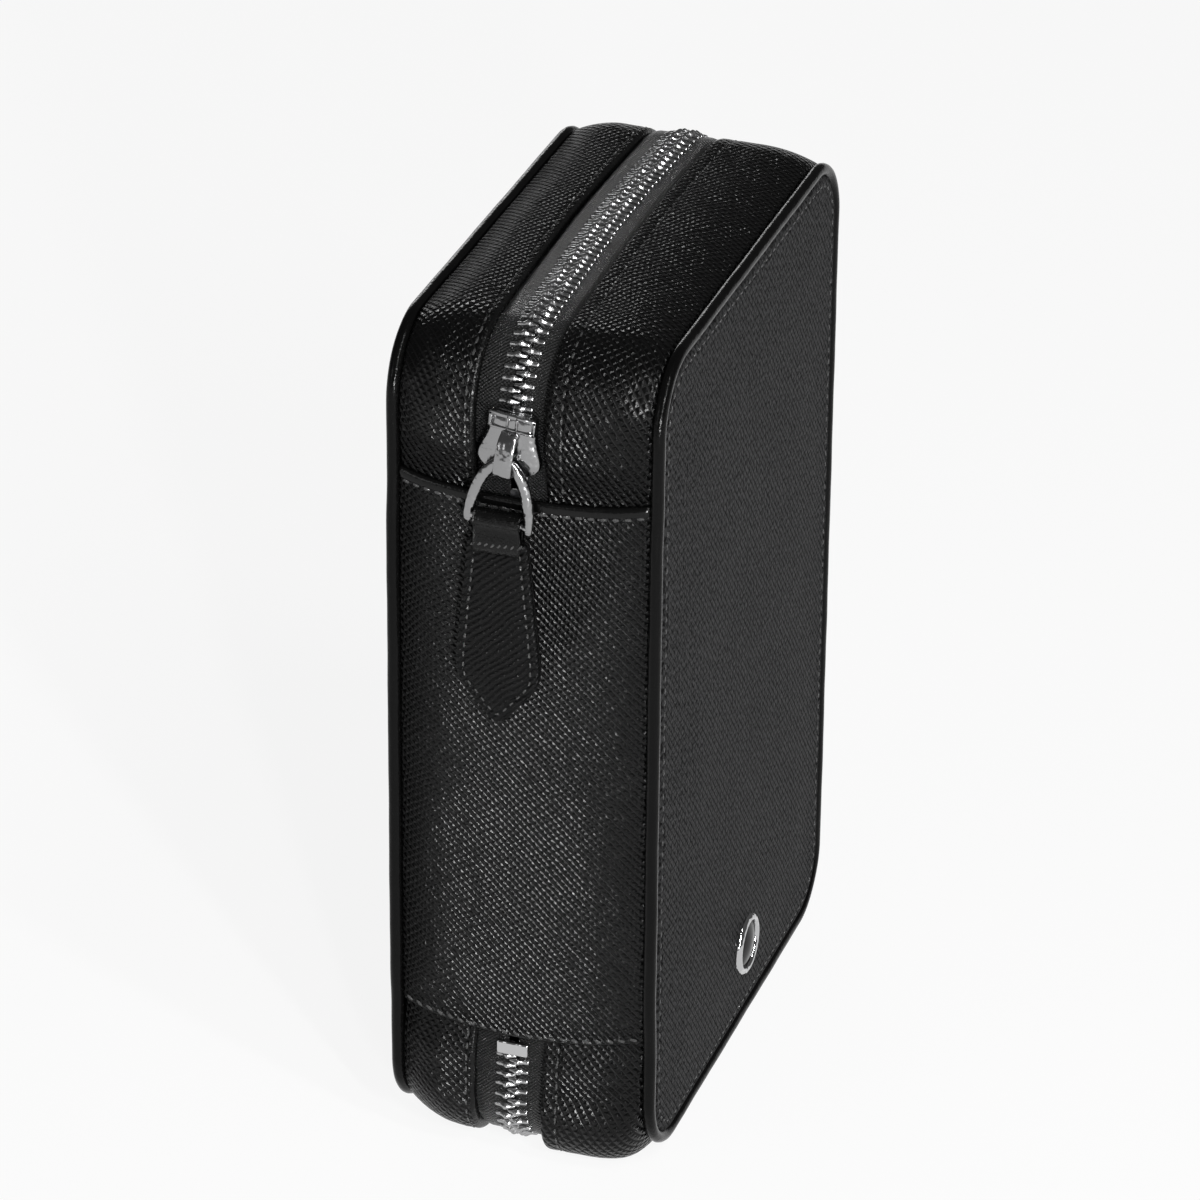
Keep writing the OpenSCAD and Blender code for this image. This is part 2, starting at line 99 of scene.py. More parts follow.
HALVES = (
    Half("front", -1, 6.3, 0.9, 0.7, 3.0, 3.4, 9.0, (1.0, 2.5)),
    Half("back", 1, 7.0, 1.3, 1.1, 1.7, 2.2, 1.3, (4.0, 6.0)),
)


# ---- Materials ----
def grey(tone, blue=1.0):
    return (tone, tone, tone * blue, 1)


class Nodes:
    """A material's node tree, with short calls for its common nodes."""

    def __init__(self, name):
        self.mat = bpy.data.materials.new(name)
        self.mat.use_nodes = True
        self.tree = self.mat.node_tree
        self.shader = self.tree.nodes["Principled BSDF"]
        coordinates = self.new("ShaderNodeTexCoord")
        self.obj, self.uv = coordinates.outputs["Object"], coordinates.outputs["UV"]

    def new(self, kind, **values):
        """A node. A name that starts with _ is an option, any other a socket, with __ for a space."""
        node = self.tree.nodes.new(kind)
        for key, value in values.items():
            if key.startswith("_"):
                setattr(node, key[1:], value)
            else:
                node.inputs[key.replace("__", " ")].default_value = value
        return node

    def link(self, output, socket):
        self.tree.links.new(output, socket)

    def math(self, operation, *values):
        node = self.new("ShaderNodeMath", _operation=operation)
        for value, socket in zip(values, node.inputs):
            if isinstance(value, (int, float)):
                socket.default_value = value
            else:
                self.link(value, socket)
        return node.outputs[0]

    def plus(self, a, b):
        return self.math("ADD", a, b)

    def times(self, a, b):
        return self.math("MULTIPLY", a, b)

    def smooth(self, value, low, high):
        node = self.new("ShaderNodeMapRange", _interpolation_type="SMOOTHSTEP", From__Min=low, From__Max=high)
        self.link(value, node.inputs["Value"])
        return node.outputs["Result"]

    def noise(self, scale, detail=3.0, coordinates=None):
        node = self.new("ShaderNodeTexNoise", Scale=scale, Detail=detail)
        self.link(coordinates or self.obj, node.inputs["Vector"])
        return node.outputs["Fac"]

    def split_uv(self):
        node = self.new("ShaderNodeSeparateXYZ")
        self.link(self.uv, node.inputs[0])
        return node.outputs["X"], node.outputs["Y"]

    def bump(self, height, distance, strength=1.0, under=None):
        node = self.new("ShaderNodeBump", Strength=strength, Distance=distance)
        self.link(height, node.inputs["Height"])
        if under is not None:
            self.link(under, node.inputs["Normal"])
        return node.outputs["Normal"]

    def into(self, socket, output):
        self.link(output, self.shader.inputs[socket])

    def uneven(self, middle, noise, amount):
        """A value that varies about the middle by that amount of the noise."""
        return self.plus(middle, self.times(self.math("SUBTRACT", noise, 0.5), amount))

    def two_tone(self, factor, low, high):
        """Base colour from low to high by the factor."""
        node = self.new("ShaderNodeMix", _data_type="RGBA")
        self.link(factor, node.inputs["Factor"])
        node.inputs[6].default_value, node.inputs[7].default_value = low, high
        self.into("Base Color", node.outputs[2])

    def set(self, **values):
        for key, value in values.items():
            self.shader.inputs[key.replace("__", " ")].default_value = value


def ridges(m, x, y, angle, period):
    """Parallel ridges with even flanks, 0 to 1. x, y and the period are in millimetres."""
    crest = 0.94                        # share of the sine kept, so the crests are a little round
    c, s = math.cos(math.radians(angle)), math.sin(math.radians(angle))
    q = m.math("SUBTRACT", m.times(y, c), m.times(x, s))
    wave = m.math("SINE", m.times(q, 2 * math.pi / period))
    flank = m.math("ARCSINE", m.times(wave, crest))
    return m.math("MULTIPLY_ADD", flank, 0.5 / math.asin(crest), 0.5)


def saffiano(name, depth, rough, tone, spec, period=1.1, angles=(-50, 35), cut=0.2,
             pores=0.08, grain=4.5, hatch=1.0, pit_tint_and_shade=0.0):
    """Leather pressed with a slanting grid: rows of small beads that catch the light as dashes."""
    m = Nodes(name)
    x, y = m.split_uv()
    slow, fast = m.noise(0.09, 2, m.uv), m.noise(1.1, 2, m.uv)
    drift = m.math("MULTIPLY_ADD", slow, 2.2, m.times(fast, 0.4))
    x, y = m.plus(x, drift), m.math("SUBTRACT", y, drift)
    a = ridges(m, x, y, angles[0], period)
    b = m.math("MULTIPLY_ADD", ridges(m, x, y, angles[1], period * 0.98), 1.05, cut)
    beads = m.math("SMOOTH_MIN", a, b, 0.12)
    worn = m.noise(0.75, 3, m.uv)
    height = m.times(beads, m.math("MULTIPLY_ADD", worn, hatch, 0.5 * hatch))
    pore = m.noise(grain, 3, m.uv)
    height = m.plus(height, m.times(pore, pores))
    stretch = m.new("ShaderNodeAttribute", _attribute_name="stretch")
    height = m.times(height, m.math("SUBTRACT", 1.0, stretch.outputs["Fac"]))
    soft = m.bump(m.noise(48), 0.0012, 0.6)
    m.into("Normal", m.bump(height, depth, 1.0, soft))
    groove = m.smooth(beads, 0.3, 0.02)
    m.into("Roughness", m.plus(m.uneven(rough, m.noise(300, 4), 0.12), m.times(groove, 0.4)))
    m.set(Base__Color=grey(tone, 1.03), Specular__IOR__Level=spec)
    if pit_tint_and_shade:
        # pebbled leather: the base colour is darker in the pits and lighter on the tops, partly the leather's
        # own darker pores, partly painted shade in the pits and painted light on the tops
        m.two_tone(m.smooth(pore, 0.38, 0.62), grey(tone * (1 - pit_tint_and_shade), 1.03), grey(tone * (1 + pit_tint_and_shade), 1.03))
    return m.mat


def smooth_leather(name, rough, tone, spec, bump=0.00012):
    m = Nodes(name)
    fine = m.new("ShaderNodeTexVoronoi", Scale=2600, _feature="F1")
    m.link(m.obj, fine.inputs["Vector"])
    height = m.plus(fine.outputs["Distance"], m.times(m.noise(900), 1.2))
    m.into("Normal", m.bump(height, bump, 0.6, m.bump(m.noise(90, 2), 0.0008, 0.5)))
    m.into("Roughness", m.uneven(rough, m.noise(600), 0.15))
    m.set(Base__Color=grey(tone), Specular__IOR__Level=spec)
    return m.mat


def thread(name, tone, rough):
    m = Nodes(name)
    x, y = m.split_uv()
    twist = m.plus(m.times(x, 14.0), m.times(y, 9.0))
    m.into("Normal", m.bump(m.math("SINE", twist), 0.00012, 0.8))
    m.into("Roughness", m.plus(rough - 0.1, m.times(m.noise(1500), 0.2)))
    m.set(Base__Color=grey(tone), Specular__IOR__Level=1.0)
    return m.mat


def metal(name, tone, rough, scratch=0.00002):
    m = Nodes(name)
    stretched = m.new("ShaderNodeMapping", Scale=(900, 2600, 260))
    m.link(m.obj, stretched.inputs["Vector"])
    cast = m.bump(m.noise(330, 2), 0.0009, 0.7)
    m.into("Normal", m.bump(m.noise(1.0, 4, stretched.outputs[0]), scratch, 0.35, cast))
    m.into("Roughness", m.uneven(rough, m.noise(500, 4), 0.12))
    m.set(Base__Color=grey(tone, 1.01), Metallic=1.0)
    return m.mat


def woven(name, tone, pitch, rough=0.85, depth=0.0003, sheen=0.2, spec=0.3):
    """Cloth: over and under threads at that pitch in millimetres, from the UVs."""
    m = Nodes(name)
    x, y = m.split_uv()
    along = m.math("SINE", m.times(x, math.pi / pitch))
    across = m.math("SINE", m.times(y, math.pi / (pitch * 0.8)))
    height = m.plus(m.times(along, across), m.times(m.noise(2200), 2.6))
    m.into("Normal", m.bump(height, depth, 0.9))
    # painted shade and light: the colour follows the bump height, darker in the hollows of the weave and
    # lighter on the raised threads, and the fine noise in that height adds random tone
    m.two_tone(m.smooth(height, -0.6, 1.5), grey(tone * 0.45), grey(tone * 1.7))
    m.set(Roughness=rough, Sheen__Weight=sheen, Sheen__Roughness=0.5, Specular__IOR__Level=spec)
    return m.mat


def velvet(name, tone):
    m = Nodes(name)
    height = m.plus(m.noise(1800, 4), m.times(m.noise(140), 1.5))
    m.into("Normal", m.bump(height, 0.0004, 0.7))
    dark, light = (tone * 0.7, tone * 0.7, tone * 0.75, 1), (tone * 1.3, tone * 1.3, tone * 1.4, 1)
    m.two_tone(m.noise(60, 4), dark, light)
    m.set(Roughness=0.95, Sheen__Weight=0.8, Sheen__Roughness=0.4)
    return m.mat


MAT = {
    "leather": saffiano("saffiano_leather", 0.00031, 0.2, 0.0015, 0.135, cut=0.14),
    # the panels are the same black leather as the rest: their base tone, ten times lighter, is painted sheen
    # standing in for a low specular, and their pits carry painted shade
    "panel": saffiano("saffiano_panel_painted_light", 0.00022, 0.36, 0.015, 0.012,
                      pores=2.6, grain=1.1, hatch=0.12, pit_tint_and_shade=0.75),
    "pull": saffiano("saffiano_pull", 0.00024, 0.26, 0.003, 0.1, angles=(42, -50), cut=0.7),
    "gloss": smooth_leather("piping_leather", 0.18, 0.002, 0.1, 0.00005),
    "rim": smooth_leather("rim_leather", 0.2, 0.0015, 0.22, 0.00005),
    "satin": smooth_leather("satin_leather", 0.26, 0.002, 0.2),
    "thread": thread("black_thread", 0.06, 0.22),
    "tape": woven("zip_tape_cloth", 0.016, 0.42, 0.28, 0.0007, 0.0, 0.5),
    "elastic": woven("elastic_cloth", 0.016, 0.7),
    "lining": velvet("velvet_lining", 0.035),
    "tray": velvet("velvet_tray", 0.045),
    "chrome": metal("polished_nickel", 0.3, 0.2),
    "mirror": metal("emblem_metal", 0.5, 0.07, 0.000003),
    "dome": smooth_leather("emblem_enamel", 0.07, 0.001, 0.16, 0.000004),
    "teeth": metal("zip_nickel", 0.36, 0.26, 0.000004),
}


# ---- Mesh helpers ----
def world(h, u, v, d):
    """A half's flat coordinates (across, up, outward from the zip line) to the row frame, in mm."""
    u, v, d = np.broadcast_arrays(np.asarray(u, float), v, d)
    return np.stack([CX + u, ZIP_Y + h.sign * d, MZ + v], -1)


def on_spine(a, b, o):
    """Spine coordinates (across toward -Y, up, outward) to the row frame, in mm."""
    a, b, o = np.broadcast_arrays(np.asarray(a, float), b, o)
    return np.stack([CX - W / 2 - o, ZIP_Y - a, MZ + b], -1)


def turned(uv, degrees):
    c, s = math.cos(math.radians(degrees)), math.sin(math.radians(degrees))
    return np.stack([uv[..., 0] * c - uv[..., 1] * s, uv[..., 0] * s + uv[..., 1] * c], -1)


def pairs(a, b):
    """Every pair of the broadcast values, for the UVs."""
    return np.stack(np.broadcast_arrays(a, b), -1)


def circle(n):
    return np.arange(n) * 2 * math.pi / n


def lengths(path):
    """Length along a polyline at each of its points."""
    return np.concatenate([[0], np.cumsum(np.linalg.norm(np.diff(path, axis=0), axis=1))])


def at_lengths(at, s, path):
    return np.stack([np.interp(at, s, column) for column in np.asarray(path, float).T], -1)


def smoothstep(x):
    x = np.clip(x, 0, 1)
    return x * x * (3 - 2 * x)


def make(name, verts, faces, mats, uv):
    """A mesh object from points in millimetres. mats names its materials, the first one for all faces."""
    me = bpy.data.meshes.new(name)
    verts = np.array(verts, float).reshape(-1, 3) * MM
    # soft edges flatten where they rest on the table
    verts[:, 2] = np.maximum(verts[:, 2], 0.0)
    me.from_pydata(verts.tolist(), [], faces)
    for mat in mats.split():
        me.materials.append(MAT[mat])
    corners = np.empty(len(me.loops), dtype=np.int32)
    me.loops.foreach_get("vertex_index", corners)
    uv = np.asarray(uv, np.float32).reshape(-1, 2)
    me.uv_layers.new(name="UVMap").data.foreach_set("uv", uv[corners].ravel())
    me.polygons.foreach_set("use_smooth", [True] * len(me.polygons))
    me.update()
    o = bpy.data.objects.new(name, me)
    bpy.context.scene.collection.objects.link(o)
    return o


def grid_faces(n, m, close_n=False, close_m=False):
    faces = []
    for i in range(n if close_n else n - 1):
        for j in range(m if close_m else m - 1):
            a, b = i * m + j, i * m + (j + 1) % m
            c, d = ((i + 1) % n) * m + (j + 1) % m, ((i + 1) % n) * m + j
            faces.append((a, b, c, d))
    return faces


def closed_faces(k, m):
    """Faces of a closed body: k rings of m points and a cap at each end."""
    return grid_faces(k, m, False, True) + [tuple(range(m))[::-1], tuple((k - 1) * m + i for i in range(m))]


def outward(obj):
    """Makes the faces' normals consistent, pointing out of the mesh."""
    bm = bmesh.new()
    bm.from_mesh(obj.data)
    bmesh.ops.recalc_face_normals(bm, faces=bm.faces[:])
    bm.to_mesh(obj.data)
    bm.free()


def place(obj, nodes, body):
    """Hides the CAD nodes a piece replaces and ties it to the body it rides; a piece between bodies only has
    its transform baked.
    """
    outward(obj)
    if nodes:
        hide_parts(*nodes)
    if isinstance(body, str):
        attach(obj, body)
    else:
        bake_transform(obj)


class Batch:
    """Many small pieces joined in one mesh."""

    def __init__(self):
        self.v, self.f, self.uv, self.n = [], [], [], 0

    def add(self, verts, faces, uv=None):
        verts = np.asarray(verts, float).reshape(-1, 3)
        self.v.append(verts)
        self.f += [tuple(self.n + k for k in f) for f in faces]
        self.uv.append(np.zeros((len(verts), 2)) if uv is None else np.asarray(uv, float).reshape(-1, 2))
        self.n += len(verts)

    def build(self, name, mat):
        return make(name, np.concatenate(self.v), self.f, mat, np.concatenate(self.uv))


class Loop:
    """The piped outline, drawn in or out by o, from the middle of the spine side round to it again."""

    def __init__(self, o):
        left, top = -CU - R, CV + R
        self.parts = [
            ("line", (left, 0.0), (left, CV), (-1, 0)),
            ("arc", (-CU, CV), 180.0, 90.0),
            ("line", (-CU, top), (CU, top), (0, 1)),
            ("arc", (CU, CV), 90.0, 0.0),
            ("line", (-left, CV), (-left, -CV), (1, 0)),
            ("arc", (CU, -CV), 0.0, -90.0),
            ("line", (CU, -top), (-CU, -top), (0, -1)),
            ("arc", (-CU, -CV), -90.0, -180.0),
            ("line", (left, -CV), (left, 0.0), (-1, 0)),
        ]
        self.len = [math.dist(p[1], p[2]) if p[0] == "line" else (R + o) * math.pi / 2 for p in self.parts]
        self.total = sum(self.len)
        self.start = np.concatenate([[0], np.cumsum(self.len)])

    def at(self, s):
        """(u, v, nu, nv): the outline's point and outward direction at length s along the drawn-in path."""
        k = max(int(min(np.searchsorted(self.start, s, "right") - 1, len(self.parts) - 1)), 0)
        f = (s - self.start[k]) / self.len[k]
        kind, a, b, c = self.parts[k]
        if kind == "line":
            return a[0] + (b[0] - a[0]) * f, a[1] + (b[1] - a[1]) * f, *c
        angle = math.radians(b + (c - b) * f)
        nu, nv = math.cos(angle), math.sin(angle)
        return a[0] + R * nu, a[1] + R * nv, nu, nv

    def samples(self, line_step, arc_n, s0=0, s1=None):
        """Lengths from s0 to s1: about line_step apart on straight parts, arc_n of them on each corner."""
        out = []
        for start, length, part in zip(self.start, self.len, self.parts):
            n = max(1, int(round(length / line_step))) if part[0] == "line" else arc_n
            out += list(start + length * np.arange(n) / n)
        out = np.array(out + [self.total])
        s1 = self.total if s1 is None else s1
        return np.concatenate([[s0], out[(out > s0 + 0.05) & (out < s1 - 0.05)], [s1]])

    def frame(self, s):
        return np.array([self.at(x) for x in s])


def beside(h, fr, o, d):
    """Points at level o and depth d beside outline samples, a row for each sample where o has rows."""
    u, v, nu, nv = fr.T if np.ndim(o) < 2 else fr.T[:, :, None]
    return world(h, u + nu * o, v + nv * o, d)


EDGE, CHAIN = Loop(0.0), Loop(CHAIN_O)
LOWER_ARC = 7                           # the lower spine corner, among the parts of a loop
# lengths along the chain: seam, behind the slider, end of the twisting stretch, and the same at the foot
S_HEAD = SLIDER_FRONT + 4.0
S_HEAD_END = SLIDER_BACK - 0.1
S_TWIST_END = S_HEAD_END + 22.0
S_FOOT = CHAIN.total - CV
S_FOOT_TWIST = S_FOOT - 20.0
S_STOP = CHAIN.total + SEAM_LOW - 5.6


def chain_shift(s):
    """Outward rise and drift toward the back of the zip along its length, as the stiff chain bows."""
    end = CHAIN.total + SEAM_LOW
    rise = 2.1 * smoothstep((s - S_HEAD_END) / 26.0) * smoothstep((end - s) / 26.0)
    a, b = S_HEAD_END + 14, S_HEAD_END + 118
    return rise, 1.5 * np.sin(math.pi * np.clip((s - a) / (b - a), 0, 1)) ** 1.5


def drifted(h, s, d):
    """Depth d on a gusset, drawn along by the chain's drift."""
    return d + h.sign * chain_shift(s)[1] * smoothstep((h.valley - d) / (h.valley - h.gap))


def seam_v(which, t):
    """Height of a spine seam at t, 0 in the middle of the spine and 1 at a piping."""
    if which == "top":
        return SEAM_TOP - 0.4 + 1.9 * t * t
    return SEAM_LOW - 0.9 + 2.9 * t * t


def gusset_o(h, d):
    """Outward level of a gusset's surface at depth d: it rises from the bead and stays level to the zip."""
    mid = h.gap + 0.38 * (h.valley - h.gap)
    reach, drop = h.valley - mid, BULGE + 0.5
    rad = (reach * reach + drop * drop) / (2 * drop)
    x = np.clip(d - mid, 0, rad)
    lip = np.clip((h.gap + h.lip - d) / h.lip, 0, 1)
    return BULGE - (rad - np.sqrt(rad * rad - x * x)) - h.drop * (1 - np.sqrt(1 - lip * lip))


def low_puff(s, loop):
    """The filled-out corner at the foot of the spine side, 0 to 1 along the loop."""
    share = np.clip((s - loop.start[LOWER_ARC]) / loop.len[LOWER_ARC], 0, 1)
    return np.sin(math.pi * share) ** 1.2


def gusset_level(h, s, d):
    """Level of a gusset's face with its two ends tucked under the spine panel."""
    k = np.minimum(smoothstep((s - SEAM_TOP + 0.2) / 11.0), smoothstep((EDGE.total + SEAM_LOW - s) / 7.0))
    across = 1 - np.clip((d - h.gap - 3) / (h.valley - h.gap - 3), 0, 1) ** h.fade
    full = gusset_o(h, d) + h.puff * low_puff(s, EDGE) * across
    return full * k + (spine_o(h, d) - 1.0) * (1 - k)


def spine_o(h, d):
    t = np.clip(d / h.valley, 0, 1.05)
    return SPINE_O + 0.45 * (1 - t * t) - 1.35 * t ** 4


def ripple(a, b, seed, size=1.0):
    """Slow uneven swell of soft leather, in mm."""
    return size * (
        0.10 * np.sin(a * 0.071 + seed * 1.7) * np.cos(b * 0.19 + seed)
        + 0.06 * np.sin(a * 0.163 + b * 0.11 + seed * 2.3)
    )


def dent(x, at, width):
    """A soft groove or ridge, 1 at its middle."""
    return np.exp(-((x - at) / width) ** 2)


# ---- Leather walls ----
UNDER_BEAD = np.array([-0.25, 0.1, 0.5])        # last columns of a wall, tucked under the bead
TURN_AT = np.array([0.0, 0.02, 0.065, 0.13, 0.22])     # across a turned edge, as shares of its width


def build_gusset(h):
    """The side wall, from its turned edge beside the zip to the bead."""
    first, last = SEAM_TOP - 0.2, EDGE.total + SEAM_LOW
    s_all = EDGE.samples(1.5, 20)
    s_all = s_all[(s_all > first - 1) & (s_all < last + 1)]
    s_all = np.concatenate([[first - 1.5], s_all, [last + 2.2]])
    turn = [(x, -h.drop * (1 - math.sqrt(1 - (1 - x / h.lip) ** 2))) for x in h.lip * TURN_AT]
    edge = np.array([(1.1, -h.drop - 1.0), (0.4, -h.drop - 0.9), (0.05, -h.drop - 0.5)] + turn)
    ds = np.concatenate([np.linspace(h.gap + 0.3 * h.lip, h.valley - 0.6, 48), h.valley + UNDER_BEAD])
    dd = np.concatenate([h.gap + edge[:, 0], ds])
    rows, uvs = [], []
    spot, before = np.array([0.0, s_all[0]]), s_all[0]
    for s, (u, v, nu, nv) in zip(s_all, EDGE.frame(s_all)):
        edge_o = float(gusset_level(h, s, h.gap + h.lip)) + edge[:, 1]
        edge_o[:3] -= 2.2 * low_puff(s, EDGE)
        # a shallow furrow along the stitches, and a firm turned edge beside it
        o = gusset_level(h, s, ds) - 0.16 * dent(ds, h.gap + h.stitch, 0.55)
        o = o + ripple(s, ds, h.gusset_seed) * np.clip((ds - h.gap - 4) / 3, 0, 1)
        o[-3:] -= np.array([0.1, 0.5, 1.2])
        offs = np.concatenate([edge_o, o])
        rows.append(world(h, u + nu * offs, v + nv * offs, drifted(h, s, dd)))
        # the grain turns slowly along the gusset
        turn_by = 4 - 24 * smoothstep((s - EDGE.start[1]) / 30)
        turn_by += 15 * smoothstep((s - EDGE.start[LOWER_ARC] + 30) / 30)
        spot = spot + turned(np.array([0.0, s - before]), turn_by)
        before = s
        arc = lengths(np.stack([dd, offs], -1))
        across = np.stack([(12 - arc) * h.sign, np.zeros_like(arc)], -1)
        uvs.append((spot + turned(across, turn_by)) * 0.92)
    pts = np.array(rows)
    o = make(h.name + "_gusset_skin", pts, grid_faces(*pts.shape[:2]), "leather satin", uvs)
    # over the rounded corner beside the bead the leather is stretched smooth
    along, out_by = (s_all - EDGE.start[1] - 9.0) / 6.0, (dd - h.valley + 2.2) / 2.6
    stretch = 0.93 * np.exp(-along[:, None] ** 2 - out_by[None, :] ** 2)
    layer = o.data.attributes.new("stretch", "FLOAT", "POINT")
    layer.data.foreach_set("value", stretch.astype(np.float32).ravel())
    # the turned edge is satin
    columns = pts.shape[1] - 1
    satin = len(edge) - 1 + (int(np.sum(ds < h.gap + 0.9)) if h.name == "back" else 0)
    faces = len(o.data.polygons)
    o.data.polygons.foreach_set("material_index", [int(i % columns < satin) for i in range(faces)])
    place(o, [h.name + "_gusset"], h.body)


def build_piping(h):
    """A round bead along the outline, on the panel's side of the gusset."""
    loop, k = Loop(-BEAD), 14
    s = loop.samples(1.6, 22)[:-1]
    fr = loop.frame(s)
    wobble = 0.05 * np.sin(s * 0.21) + 0.03 * np.sin(s * 0.57 + 1)
    # the spine panel presses the bead outward between its seams
    v, on_side = fr[:, 1], fr[:, 2] < -0.99
    push = 0.55 * smoothstep((v - SEAM_LOW) / 10) * smoothstep((SEAM_TOP - v) / 10) * on_side
    centres = beside(h, fr, push - BEAD, h.depth - BEAD + wobble * 0.5)
    normals = np.stack([fr[:, 2], np.zeros(len(s)), fr[:, 3]], -1)
    side, ang = np.array([0, h.sign, 0.0]), circle(k)
    round_by = np.cos(ang)[None, :, None] * normals[:, None, :] + np.sin(ang)[None, :, None] * side
    pts = centres[:, None, :] + BEAD * round_by
    uv = pairs(lengths(centres)[:, None], (ang * BEAD)[None, :])
    o = make(h.name + "_piping_bead", pts, grid_faces(len(s), k, True, True), "gloss", uv)
    place(o, [h.name + "_piping"], h.body)


def rounded_shape(w, tall, r, n):
    """Points round a rounded rectangle, n + 1 of them a corner."""
    x, y = w / 2 - r, tall / 2 - r
    out = []
    for cx, cy, start in ((x, y, 0), (-x, y, 90), (-x, -y, 180), (x, -y, 270)):
        for i in range(n + 1):
            a = math.radians(start + 90 * i / n)
            out.append((cx + r * math.cos(a), cy + r * math.sin(a)))
    return np.array(out)


def resample(ring, step):
    """The same closed line in equal steps of about that length."""
    ring = np.vstack([ring, ring[:1]])
    s = lengths(ring)
    n = max(3, int(round(s[-1] / step)))
    return at_lengths(np.linspace(0, s[-1], n, endpoint=False), s, ring)


PANEL_LAP = 0.25                        # how far a panel reaches under its bead
STITCH_IN = 2.1                         # from the bead to the panel's stitches


def panel_level(inset):
    """How far a panel's face stands past the bead's centre, by distance inside the bead."""
    x = np.asarray(inset, float)
    rise = 0.55 + 0.45 * smoothstep(x / 1.4) + 0.55 * smoothstep(x / 26)
    return rise - 0.14 * dent(x, STITCH_IN, 0.5)


def panel_outline(inset, n):
    """The panel's outline at that distance inside the bead."""
    total = 2 * BEAD + inset - PANEL_LAP
    return rounded_shape(W - 2 * total, H - 2 * total, max(R - total, 0.6), n)


def panel_ring(inset, n=12):
    """The same outline with its straight sides in even steps."""
    base = panel_outline(inset, n)
    full = []
    for i, p in enumerate(base):
        full.append(p)
        if i % (n + 1) == n:
            m = 30 if i // (n + 1) in (0, 2) else 46
            step = base[(i + 1) % len(base)] - p
            full += [p + step * j / m for j in range(1, m)]
    return np.array(full)


def build_panel(h):
    """Rings inside the bead, then the same ring shrunk toward the middle."""
    insets = [0.0, 0.12, 0.35, 0.7, 1.1, *np.linspace(1.5, 3.2, 10), *np.linspace(3.8, 7.0, 4)]
    rings = [panel_ring(x) for x in insets]
    rings += [rings[-1] * k for k in np.linspace(0.96, 0.04, 24)]
    pts = []
    for i, ring in enumerate(rings):
        u, v = ring[:, 0], ring[:, 1]
        if i < len(insets):
            inner = np.full(len(ring), insets[i])
        else:
            inner = np.min([W / 2 - np.abs(u), H / 2 - np.abs(v)], axis=0) - 2 * BEAD + PANEL_LAP
        level = panel_level(inner) + ripple(u, v, h.panel_seed, 0.8) * np.minimum(1, inner / 8)
        if i == 0:
            level = level - 0.9             # the outermost ring is tucked under the bead
        pts.append(world(h, u, v, h.depth - BEAD + level))
    n, k = len(rings), len(rings[0])
    faces = grid_faces(n, k, False, True) + [tuple((n - 1) * k + i for i in range(k))]
    o = make(h.name + "_panel_skin", pts, faces, "panel", rings)
    place(o, [h.name + "_panel"], h.body)
    if o.data.polygons[10 * k].normal.y * h.sign < 0:
        o.data.flip_normals()


def over_fold(h):
    """The blend of a piece that bends at this half's spine fold."""
    x, y, half_width = CX - W / 2, ZIP_Y + h.sign * FOLD, h.sign * 1.2
    ends = [(x * MM, (y + side * half_width) * MM, MZ * MM) for side in (-1, 1)]
    return "spine", h.body, *ends


RIMS = [(-1.25, -1.3), (-0.62, -1.32), (-0.12, -1.05), (0.0, -0.6), (-0.16, -0.18), (-0.55, 0.02)]


def build_spine(h):
    """One side of the spine panel, with turned rims at both seams."""
    ds = np.concatenate([np.linspace(0, h.valley - 0.6, 40), h.valley + UNDER_BEAD])
    t = np.clip(ds / h.valley, 0, 1)
    top, low = seam_v("top", t), seam_v("low", t)
    o = spine_o(h, ds)
    o[-3:] -= np.array([0.05, 0.35, 1.0])
    rows = [(low - dv, o + do) for dv, do in RIMS]
    for f in np.linspace(0, 1, 110):
        v = low + 1.0 + (top - low - 2.0) * f
        groove = -0.15 * dent(v, low + 1.6, 0.45) - 0.18 * dent(v, top - 2.5, 0.5)
        ridge = 0.22 * dent(v, top - 1.0, 0.7)
        swell = 0.35 * np.sin(np.pi * f) * (1 - t ** 2)
        rows.append((v, o + groove + ridge + swell + ripple(v, ds, 9.0, 1.2) * (1 - t ** 3)))
    rows += [(top + dv, o + do) for dv, do in RIMS[::-1]]
    pts = np.array([world(h, -W / 2 - off, v, ds) for v, off in rows])
    uv = [turned(np.stack([-h.sign * ds, v], -1), -4) for v, off in rows]
    obj = make(h.name + "_spine_skin", pts, grid_faces(*pts.shape[:2]), "leather rim", uv)
    columns, edge, faces = len(ds) - 1, len(RIMS) - 1, obj.data.polygons
    rim = [int(not edge <= i // columns < len(rows) - edge - 3) for i in range(len(faces))]
    faces.foreach_set("material_index", rim)
    place(obj, [h.name + "_spine_edge", "spine_strip"], over_fold(h))
    if obj.data.polygons[len(faces) // 2].normal.x > 0:
        obj.data.flip_normals()


# ---- Stitches ----
# along a stitch: place, thickness and height, as shares of its length and radius
STITCH = [(-0.5, 0.35, -1.3), (-0.42, 0.75, -0.8), (-0.25, 1.0, -0.15), (0, 1.05, 0.05),
          (0.25, 1.0, -0.15), (0.42, 0.75, -0.8), (0.5, 0.35, -1.3)]
TO_SPINE_SIDE = (-1.0, 0.0, 0.0)        # outward on the spine's side


def unit(v):
    return v / np.linalg.norm(v)


